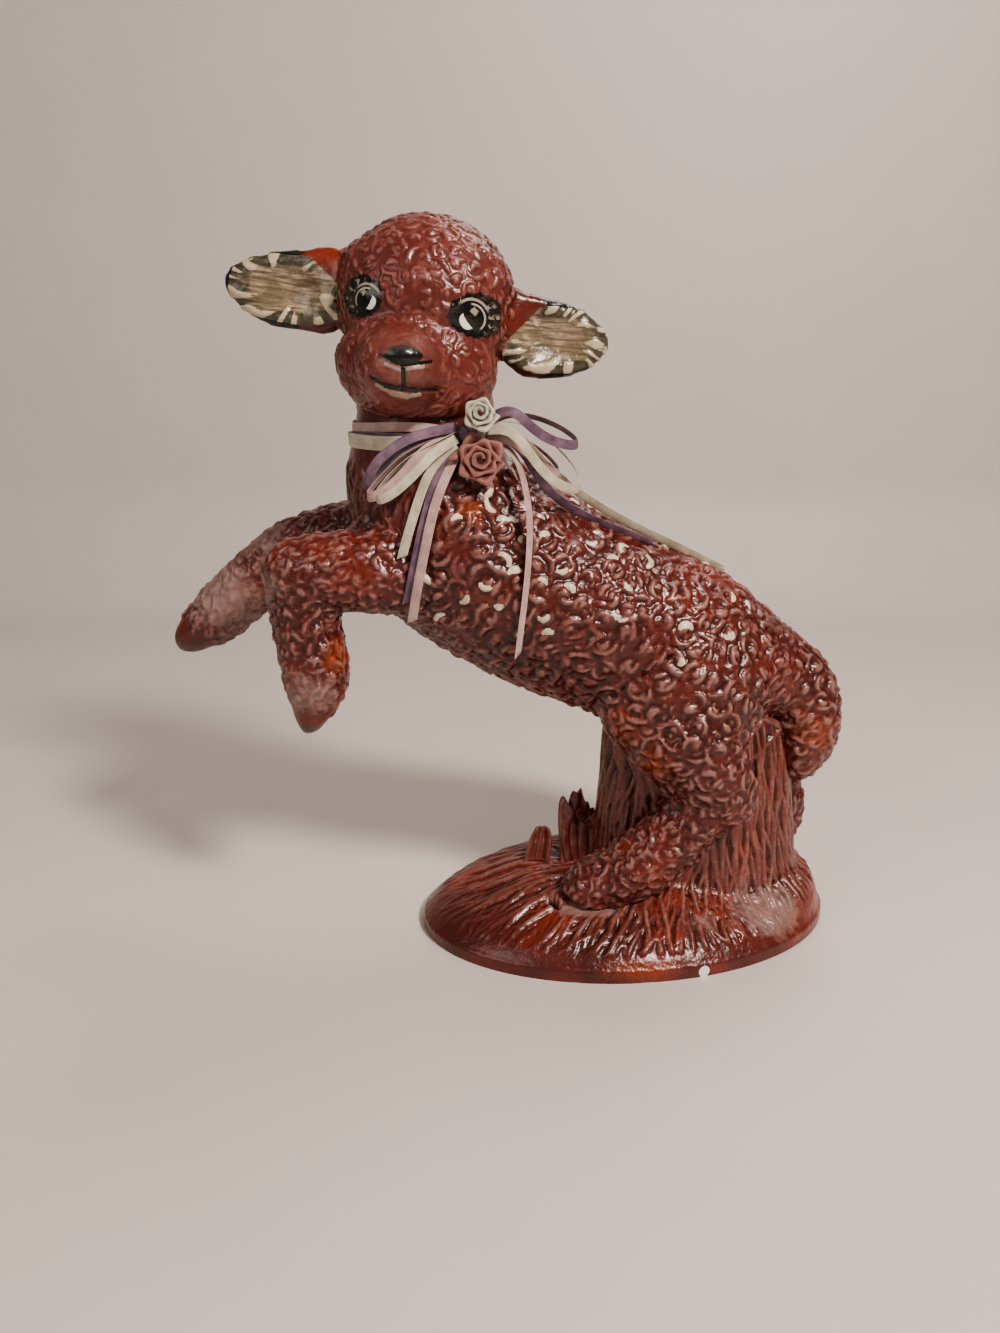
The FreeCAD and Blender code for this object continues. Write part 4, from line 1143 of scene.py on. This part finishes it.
def make_body():
    names = ["body_casting", "left_foreleg", "right_foreleg", "left_hind_leg", "right_hind_leg",
             "tail"]
    clay = Clay(*skin_of(*merged(names), 0.0028, 6))
    # pointed fore hooves and a blunt hind toe
    clay.swell((-0.1168, -0.0240, 0.0900), 0.0070, 0.0060, (-0.12, 0, -0.95))
    clay.swell((-0.1660, 0.0180, 0.1090), 0.0085, 0.0060, (-0.85, 0, -0.60))
    clay.swell((-0.0190, -0.0290, 0.0240), 0.0075, 0.0012)
    clay.settle()
    x, y, z = clay.co.T
    part = clay.part
    spacing = np.full(len(x), 0.0070, np.float32)
    spacing[(part == 1) | (part == 2)] = 0.0057
    hind = (part == 3) | (part == 4)
    spacing[hind] = np.where(z[hind] < 0.062, 0.0055, 0.0068)
    spacing[part == 5] = 0.0062
    hoof = np.minimum.reduce([away(clay, (-0.1170, -0.024, 0.0870)) / 0.012,
                              away(clay, (-0.1715, 0.018, 0.1040)) / 0.014,
                              away(clay, (-0.0260, -0.025, 0.0180)) / 0.008])
    collar = np.abs(z - 0.184) < 0.0085
    throat = (part == 0) & (z > 0.150) & (x < -0.066 + (z - 0.150) * 0.2) & (y > -0.034)
    wool = (hoof > 1) & ~collar & ~throat
    sites = clay.scatter(spacing, wool)
    cell = clay.own(sites)
    for site in sites:
        size = spacing[site] / 0.0066
        sx, sy, sz = clay.co[site]
        limb = part[site] in (1, 2) or sz < 0.062
        near_back = part[site] == 0 and sz > 0.116 and -0.074 < sx < 0.022
        flank = part[site] in (0, 3, 4) and sz > 0.104 and -0.02 < sx < 0.040
        likely = (0.40 if sx > -0.03 else 0.56) if near_back else 0.26 if flank else 0
        curl(clay, site, size * 1.04, 0.00110 if limb else 0.00140, cell,
             chance.random() < likely)
    for site in clay.scatter(np.full(len(x), 0.0036, np.float32), throat & ~collar):
        strand(clay, Vector(clay.co[site]), (chance.uniform(-0.3, 0.3), 0.1, 1),
               chance.uniform(0.008, 0.015), 0.0011, 0.0008, 2.6)
    relief = clay.field("relief")
    # small slivers of wool in the gaps between the locks
    for site in clay.scatter(spacing * 0.42, wool & (relief < 0.00020)):
        size = spacing[site] / 0.0066
        path = clay.arc(site, chance.uniform(0, 6.3), chance.uniform(0.0010, 0.0022) * size, 0,
                        chance.uniform(1.2, 2.6), (-0.0012 * size, 0), 0.9, 0.3)
        clay.ridge(path, [0.00085 * size * (0.3 + 0.7 * share) for share in TAPER],
                   [0.00070 * share for share in TAPER])
    relief *= 1 - 0.95 * (1 - fade(np.abs(z - 0.184), 0.0066, 0.0105)) * (part == 0)
    for mark, spots in (
            ("warm", (((-0.006, -0.030, 0.087), 0.0100), ((0.004, -0.036, 0.075), 0.008),
                      ((-0.104, -0.030, 0.112), 0.0080), ((-0.059, -0.031, 0.161), 0.0060),
                      ((-0.108, -0.020, 0.098), 0.0060), ((0.066, -0.010, 0.078), 0.0100),
                      ((-0.084, 0.024, 0.130), 0.0100), ((0.020, 0.034, 0.090), 0.0120))),
            ("dust", (((-0.123, -0.026, 0.136), 0.0130), ((-0.134, 0.018, 0.142), 0.0160),
                      ((-0.114, -0.028, 0.100), 0.0130), ((-0.152, 0.014, 0.124), 0.0200),
                      ((-0.085, -0.026, 0.138), 0.0080)))):
        for centre, reach in spots:
            zone(clay, mark, centre, reach, 0.9)
    dust = clay.field("dust")
    np.maximum(dust, 0.34 * (1 - fade(z, 0.03, 0.085)) * hind, out=dust)
    np.maximum(dust, 0.30 * (part == 5), out=dust)
    clay.field("rub")[:] = 0.25 + 0.35 * hind + 0.3 * (part == 5) + 0.25 * (part == 1)
    for tip in ((-0.1178, -0.0250, 0.0820), (-0.1760, 0.0160, 0.1000)):
        zone(clay, "tip", tip, 0.0075, 1.1)
    clay.raise_skin(0.0014)
    clay.hold(["crest", "hollow", "dab", "warm", "dust", "rub", "tip"])
    clay.pieces(names, [WOOL] * 6, ["wool_glaze"] * 6)


make_body()

# The ears: middle of the cup, the way to the tip, half length and half width.
EARS = (((-0.1185, 0.2310), (-0.99, 0.12), 0.0222, 0.0114),
        ((-0.0310, 0.2150), (1.0, -0.03), 0.0195, 0.0114))
EYES = (((-0.0579, 0.2206), 0.0043), ((-0.0907, 0.2260), 0.0037))


def ear_fields(clay, order):
    """How far each vertex of an ear is across its cup, with the petals round the rim."""
    (cx, cz), (ax, az), long, wide = EARS[order - 1]
    x, y, z = clay.co.T
    along = (x - cx) * ax + (z - cz) * az
    across = -(x - cx) * az + (z - cz) * ax
    reach = (np.abs(along / long) ** 2.4 + np.abs(across / wide) ** 2.2) ** (1 / 2.3)
    front = fade(-clay.lie[:, 1], -0.05, 0.25) * (clay.part == order)
    angle = np.arctan2(across / wide, along / long)
    drift = 2.4 * np.sin(angle * 3 + order) + 1.3 * np.sin(angle * 7 + 2 * order)
    lobe = np.cos(angle * 14 + drift + (reach - 0.8) * 7.0)
    depth = 0.52 + 0.14 * np.sin(angle * 5 + 3 * order)
    band = fade(reach, depth, depth + 0.2) * (1 - fade(reach, 0.92, 1.02))
    petal = fade(lobe, -0.55, 0.85) * band * front * (0.80 + 0.20 * np.sin(angle * 9))
    # the red root runs out over the top of the cup
    root = fade(-along / long + (z - cz) / wide * 0.6, 0.55, 1.05)
    petal *= 1 - root
    front *= 1 - root
    clay.field("petal")[:] = np.maximum(clay.field("petal"), petal)
    clay.field("cup")[:] = np.maximum(clay.field("cup"), (1 - fade(reach, 0.90, 1.04)) * front)
    clay.field("edge")[:] = np.maximum(clay.field("edge"), fade(reach, 0.45, 0.8) * front)
    tip = fade(along / long + np.abs(across / wide) * 0.4, -0.1, 0.5)
    rim = fade(reach, 0.86, 0.96) * (1 - fade(reach, 1.14, 1.32)) * tip
    rim *= (clay.part == order) * fade(-clay.lie[:, 1], -0.5, -0.1)
    clay.field("rim")[:] = np.maximum(clay.field("rim"), rim)
    clay.field("relief")[:] += petal * 0.00065
    mine = clay.part == order
    clay.comb[mine] = np.stack([along * 70, across * 750, y * 0], axis=1)[mine]


def make_head():
    names = ["head_casting", "left_ear", "right_ear"]
    clay = Clay(*skin_of(*merged(names), 0.0018, 7))
    # the ears widen where they leave the head
    clay.swell((-0.1030, -0.010, 0.2400), (0.009, 0.04, 0.006), 0.0042, (0.1, 0, 1))
    clay.swell((-0.1040, -0.010, 0.2205), (0.009, 0.04, 0.006), 0.0036, (0.1, 0, -1))
    clay.swell((-0.0450, -0.008, 0.2235), (0.011, 0.04, 0.007), 0.0058, (-0.3, 0, 1))
    clay.swell((-0.0430, -0.008, 0.2065), (0.009, 0.04, 0.006), 0.0022, (-0.1, 0, -1))
    # brow, cheeks, snout, nose pad, lips and chin
    clay.swell((-0.0579, -0.0300, 0.2206), 0.0058, 0.0011)
    clay.swell((-0.0907, -0.0290, 0.2260), 0.0052, 0.0010)
    clay.swell((-0.0745, -0.0340, 0.2200), 0.0055, -0.0008)
    clay.swell((-0.0785, -0.0450, 0.2095), (0.0058, 0.01, 0.0034), 0.0016)
    clay.swell((-0.0850, -0.0440, 0.2035), (0.0046, 0.01, 0.0034), 0.0008)
    clay.swell((-0.0715, -0.0420, 0.2030), (0.0048, 0.01, 0.0034), 0.0008)
    clay.swell((-0.0785, -0.0400, 0.1945), (0.0060, 0.01, 0.0028), 0.0008)
    clay.settle()
    x, y, z = clay.co.T
    front = (y < -0.018) & (clay.part == 0)
    snout = np.sqrt(((x + 0.0785) / 0.0125) ** 2 + ((z - 0.2050) / 0.0150) ** 2)
    eyes = np.minimum.reduce([np.sqrt((x - ex) ** 2 + (z - ez) ** 2) for (ex, ez), _ in EYES])
    bare = front & ((snout < 1) | (eyes < 0.0078))
    low = z < 0.196
    allowed = (clay.part == 0) & ~bare & ~low
    spacing = np.full(len(x), 0.0047, np.float32)
    sites = clay.scatter(spacing, allowed)
    cell = clay.own(sites)
    for site in sites:
        face = clay.co[site][1] < -0.02 and clay.co[site][2] < 0.226
        curl(clay, site, 0.74, 0.00055 if face else 0.00066, cell)
    jaw = (clay.part == 0) & low & (snout > 0.9)
    for site in clay.scatter(np.full(len(x), 0.0034, np.float32), jaw):
        strand(clay, Vector(clay.co[site]), (1, -0.3, 0.2), chance.uniform(0.006, 0.011), 0.0009,
               0.00045, 2.4)
    for site in clay.scatter(np.full(len(x), 0.0042, np.float32), front & (snout < 0.9)
                             & (z > 0.2125)):
        strand(clay, Vector(clay.co[site]), (chance.uniform(-1, 1), 0, 0.8), 0.0045, 0.0007,
               0.00022, 3.0)
    # grooves of the mouth, the cleft and the nostrils
    for path in (((-0.0882, 0.2030), (-0.0840, 0.2004), (-0.0790, 0.1994), (-0.0748, 0.1990),
                  (-0.0690, 0.1992)),
                 ((-0.0781, 0.2056), (-0.0783, 0.2000)),
                 ((-0.0855, 0.2090), (-0.0784, 0.2063), (-0.0700, 0.2073))):
        for (x0, z0), (x1, z1) in zip(path, path[1:]):
            run, rise = x1 - x0, z1 - z0
            share = ((x - x0) * run + (z - z0) * rise) / (run * run + rise * rise)
            share = share.clip(0, 1)
            gap = np.hypot(x - x0 - share * run, z - z0 - share * rise)
            clay.field("relief")[:] -= 0.0004 * np.exp(-(gap / 0.0008) ** 2) * front
    clay.comb = np.zeros_like(clay.co)
    ear_fields(clay, 1)
    ear_fields(clay, 2)
    clay.field("rub")[:] = 0.10
    for centre, reach in (((-0.098, -0.012, 0.233), 0.0070), ((-0.048, -0.010, 0.222), 0.0060),
                          ((-0.046, -0.012, 0.206), 0.0080), ((-0.062, -0.030, 0.206), 0.0060)):
        zone(clay, "warm", centre, reach, 0.50)
    clay.raise_skin(0.0007)
    clay.hold(["crest", "hollow", "dab", "warm", "dust", "rub", "cup", "edge", "petal", "rim"])
    comb = clay.mesh.attributes.new("comb", "FLOAT_VECTOR", "POINT")
    comb.data.foreach_set("vector", clay.comb.astype(np.float32).ravel())
    face = FaceGlaze("head_glaze", rub=0.60, orange=0.12).face()
    ear = EarGlaze("ear_glaze", rub=0.3, orange=0.4).ear()
    clay.pieces(names, [face, ear, ear], ["wool_glaze", "ear_glaze", "ear_glaze"])


make_head()


# ------------------------------------------------------------ castings: the ground

BASE_TURN = math.radians(9)
FOOT = 0.0006


def outside_of_base(name, bm):
    """Take the cavity, pour hole and vent off the base, so that only its outside is left."""
    if name != "base_casting":
        return
    bm.normal_update()
    tree = BVHTree.FromBMesh(bm)
    inner = []
    for face in bm.faces:
        middle = face.calc_center_median()
        if tree.ray_cast(middle + face.normal * 1e-5, face.normal, 0.2)[0]:
            inner.append(face)
    bmesh.ops.delete(bm, geom=inner, context="FACES")
    bmesh.ops.holes_fill(bm, edges=[edge for edge in bm.edges if edge.is_boundary], sides=0)


def open_foot(bm):
    geom = bm.verts[:] + bm.edges[:] + bm.faces[:]
    bmesh.ops.bisect_plane(bm, geom=geom, plane_co=(0, 0, FOOT), plane_no=(0, 0, 1),
                           clear_inner=True)


POUR_HOLE = (0.0352, 0.0, 0.011)


def foot_of_base(bm):
    """A flat foot ring, the pour hole and the hollow above it."""
    rim = [edge for edge in bm.edges if edge.is_boundary
           and all(vert.co.z < FOOT + 0.0004 for vert in edge.verts)]

    def grown(edges):
        made = bmesh.ops.extrude_edge_only(bm, edges=edges)["geom"]
        verts = [item for item in made if isinstance(item, bmesh.types.BMVert)]
        fresh = set(verts)
        edges = [item for item in made if isinstance(item, bmesh.types.BMEdge)
                 and item.verts[0] in fresh and item.verts[1] in fresh]
        return verts, edges

    verts, edges = grown(rim)
    for vert in verts:
        vert.co = Vector((vert.co.x * 0.996, vert.co.y * 0.996, 0))
    made = bmesh.ops.create_circle(bm, cap_ends=False, segments=64, radius=POUR_HOLE[2],
                                   matrix=Matrix.Translation((POUR_HOLE[0], POUR_HOLE[1], 0)))
    hole = list({edge for vert in made["verts"] for edge in vert.link_edges})
    bmesh.ops.bridge_loops(bm, edges=edges + hole)
    verts, edges = grown(hole)
    bmesh.ops.translate(bm, verts=verts, vec=(0, 0, 0.005))
    verts, edges = grown(edges)
    bmesh.ops.translate(bm, verts=verts, vec=(-POUR_HOLE[0], 0, 0))
    bmesh.ops.scale(bm, verts=verts, vec=(3.6, 2.4, 1))
    verts, edges = grown(edges)
    bmesh.ops.translate(bm, verts=verts, vec=(0, 0, 0.004))
    bmesh.ops.scale(bm, verts=verts, vec=(0.9, 0.9, 1))
    bmesh.ops.holes_fill(bm, edges=edges, sides=0)


def make_ground():
    names = ["base_casting", "grass_column"]
    clay = Clay(*skin_of(*merged(names, outside_of_base), 0.0023, 6, open_foot))
    x, y, z = clay.co.T
    part = clay.part
    turned_x = x * math.cos(BASE_TURN) + y * math.sin(BASE_TURN)
    turned_y = y * math.cos(BASE_TURN) - x * math.sin(BASE_TURN)
    out = np.sqrt((turned_x / 0.080) ** 2 + (turned_y / 0.0525) ** 2)
    top = (part == 0) & (out < 0.90) & (z > 0.0055)
    left = x < -0.022
    spacing = np.where(left, 0.0030, 0.0036).astype(np.float32)
    for site in clay.scatter(spacing, top):
        spot = Vector(clay.co[site])
        way = Vector((spot.x - 0.012, (spot.y + 0.004) * 1.3, -0.004)).normalized()
        way.rotate(Quaternion((0, 0, 1), chance.uniform(-0.35, 0.35)))
        fine = spot.x < -0.022
        long = chance.uniform(0.008, 0.013) if fine else chance.uniform(0.012, 0.021)
        start = spot - way * long * 0.45
        strand(clay, start, way, long, 0.0008 if fine else 0.00105,
               0.00045 if fine else 0.0010, chance.uniform(-1.6, 1.6),
               [("blade", chance.uniform(0.3, 1.0))])
    column = part == 1
    for site in clay.scatter(np.full(len(x), 0.0040, np.float32), column | (top & (z > 0.019))):
        spot = Vector(clay.co[site])
        way = Vector(((spot.x - 0.024) * 6, spot.y * 6, -1)).normalized()
        long = chance.uniform(0.020, 0.036)
        strand(clay, spot - way * long * 0.4, way, long, 0.0013, 0.0015,
               chance.uniform(-1.2, 1.2), [("blade", chance.uniform(0.3, 1.0))])
    relief = clay.field("relief")
    relief *= 1 - fade(out, 0.90, 0.95) * (part == 0)
    # true up the lip's oval
    lip = fade(out, 0.93, 0.975) * (1 - fade(z, 0.0036, 0.0056)) * (part == 0)
    true = 1 + lip * (0.991 / np.maximum(out, 0.5) - 1)
    clay.co[:, 0] *= true
    clay.co[:, 1] *= true
    # the firing vent beside the near hind hoof
    vent = np.hypot((x + 0.0295 + (y + 0.0285) * 0.5) / 0.0018, (y + 0.0285) / 0.0032)
    pit = (1 - fade(vent, 0.7, 1.2)) * (part == 0)
    relief *= 1 - pit
    clay.field("chip")[:] = 1 - fade(away(clay, (0.0228, -0.0488, 0.0022)), 0.0010, 0.0034)
    clay.field("rub")[:] = 0.10 + 0.10 * column + 0.35 * fade(x, -0.03, 0.03) * (part == 0)
    zone(clay, "dust", (0.050, -0.026, 0.014), (0.020, 0.014, 0.02), 0.85)
    zone(clay, "dust", (0.026, -0.036, 0.016), (0.016, 0.008, 0.02), 0.60)
    zone(clay, "dust", (-0.0165, -0.0325, 0.018), (0.0120, 0.0040, 0.008), 1.4)
    relief *= 1 - 0.8 * clay.field("dust").clip(0, 1) ** 2 * (y < -0.026) * (x < 0)
    zone(clay, "dust", (-0.012, 0.008, 0.035), (0.008, 0.012, 0.02), 0.75)
    zone(clay, "warm", (0.000, -0.051, 0.004), (0.022, 0.006, 0.006), 0.7)
    zone(clay, "warm", (0.050, -0.006, 0.060), (0.012, 0.020, 0.03), 0.5)
    clay.raise_skin(0.0019)
    clay.co = clay.co - np.outer(pit, (0, 0, 0.006)).astype(np.float32)
    clay.write()
    # the vent pit's mask, which the base glaze paints near black as painted shade
    clay.fields["slot"] = pit
    clay.hold(["crest", "hollow", "dab", "warm", "dust", "rub", "chip", "blade", "slot"])
    ground = GrassGlaze("base_glaze", 0.62).done()
    grass = GrassGlaze("grass_glaze", 0.60, 0.4).done()
    clay.pieces(names, [ground, grass], ["base_glaze", "grass_glaze"],
                {"base_casting": foot_of_base})
    return grass


GRASS = make_ground()


def make_leaf(name, spot, top, half, thick, shape):
    """A standing leaf: a sheet that is bent by shape, given a wall and finished fine."""
    bm = bmesh.new()
    bmesh.ops.create_grid(bm, x_segments=16, y_segments=22, size=1.0)
    spot, top = Vector(spot), Vector(top)
    for vert in bm.verts:
        across, up = vert.co.x, (vert.co.y + 1) / 2
        side, deep, reach = shape(across, up)
        vert.co = spot.lerp(top, reach) + Vector((side * half, deep, 0))
    bmesh.ops.recalc_face_normals(bm, faces=bm.faces)
    bmesh.ops.solidify(bm, geom=bm.faces[:], thickness=thick)
    piece = made_piece(name + "_glazed", bm, GRASS, "grass_glaze", name)
    finer = piece.modifiers.new("finer", "SUBSURF")
    finer.levels = finer.render_levels = 2
    layer = piece.data.attributes.new("crest", "FLOAT", "POINT")
    values = [0.35 + 0.5 * abs(math.sin(vert.co.x * 2600)) * (vert.co.z > spot.z + 0.004)
              for vert in piece.data.vertices]
    layer.data.foreach_set("value", values)


def rolled(across, up):
    """A tongue whose edges roll forward, as a spoon's do."""
    wide = math.sin(math.pi * min(1, 0.30 + 0.52 * up)) ** 0.5 * (1 - max(0, up - 0.80) ** 2 * 9)
    curl = across * across * 0.0034 + 0.0007 * math.cos(across * 9)
    return across * wide, -curl - 0.0010 * math.sin(3 * up), up


def ragged(across, up):
    """A fan of blades joined side to side, with spiky ends."""
    blade = (across + 1) * 2.6
    tip = abs((blade % 1.0) - 0.5) * 2
    height = 1 - 0.30 * tip * (0.6 + 0.4 * math.sin(blade * 2.1)) - 0.22 * max(0, across)
    fold = 0.0009 * math.cos(2 * math.pi * blade) + 0.0026 * across * across
    return across * (1 - 0.42 * up) + 0.10 * math.sin(up * 5 + blade), -fold, up * height


make_leaf("rolled_leaf", (-0.0375, -0.0030, 0.0090), (-0.0325, 0.0036, 0.0340), 0.0050, 0.0014,
          rolled)
make_leaf("leaf_tuft", (-0.0165, 0.0000, 0.0120), (-0.0185, 0.0060, 0.0505), 0.0125, 0.0024,
          ragged)


# ------------------------------------------------------------------ floor and light

def make_stage():
    """A pale floor that sweeps up behind, far enough back to walk round the lamb."""
    bm = bmesh.new()
    line = [(-1.6, 0), (0.50, 0)]
    for step in range(1, 13):
        angle = math.pi / 2 * step / 12
        line.append((0.50 + 0.12 * math.sin(angle), 0.12 - 0.12 * math.cos(angle)))
    line.append((0.62, 1.6))
    verts = [bm.verts.new((-1.8, y, z)) for y, z in line]
    edges = [bm.edges.new(pair) for pair in zip(verts, verts[1:])]
    made = bmesh.ops.extrude_edge_only(bm, edges=edges)["geom"]
    bmesh.ops.translate(bm, vec=(3.6, 0, 0),
                        verts=[item for item in made if isinstance(item, bmesh.types.BMVert)])
    bmesh.ops.recalc_face_normals(bm, faces=bm.faces)
    mesh = bpy.data.meshes.new("floor")
    bm.to_mesh(mesh)
    bm.free()
    mesh.shade_smooth()
    plaster = Finish("floor_paint")
    cloud = plaster.noise(plaster.place(), 9, 4)
    plaster.set(Base_Color=plaster.mix(cloud, paint(0.62, 0.565, 0.53), paint(0.68, 0.625, 0.59)),
                Roughness=0.55 + (cloud - 0.5) * 0.1)
    mesh.materials.append(plaster.material)
    floor = bpy.data.objects.new("floor", mesh)
    collection.objects.link(floor)


def lamp(name, spot, target, width, watts, colour):
    data = bpy.data.lights.new(name, "AREA")
    data.shape = "DISK"
    data.size = width
    data.energy = watts
    data.color = colour
    light = bpy.data.objects.new(name, data)
    light.location = spot
    light.rotation_euler = (Vector(target) - Vector(spot)).to_track_quat("-Z", "Y").to_euler()
    collection.objects.link(light)


def make_light():
    middle = (-0.05, 0, 0.12)
    lamp("key", (0.42, -0.60, 0.80), middle, 0.20, 11.0, (1.0, 0.91, 0.83))
    lamp("fill", (-0.75, -0.60, 0.60), middle, 0.60, 2.2, (1.0, 0.93, 0.88))
    lamp("back", (0.25, 0.42, 0.95), middle, 0.40, 2.2, (1.0, 0.94, 0.90))
    world = bpy.data.worlds.new("room")
    bpy.context.scene.world = world
    world.use_nodes = True
    sky = world.node_tree.nodes["Background"]
    sky.inputs["Color"].default_value = paint(0.60, 0.53, 0.48)
    sky.inputs["Strength"].default_value = 0.30


make_stage()
make_light()
bpy.context.scene.view_settings.look = "AgX - Medium High Contrast"

bpy.context.view_layer.update()
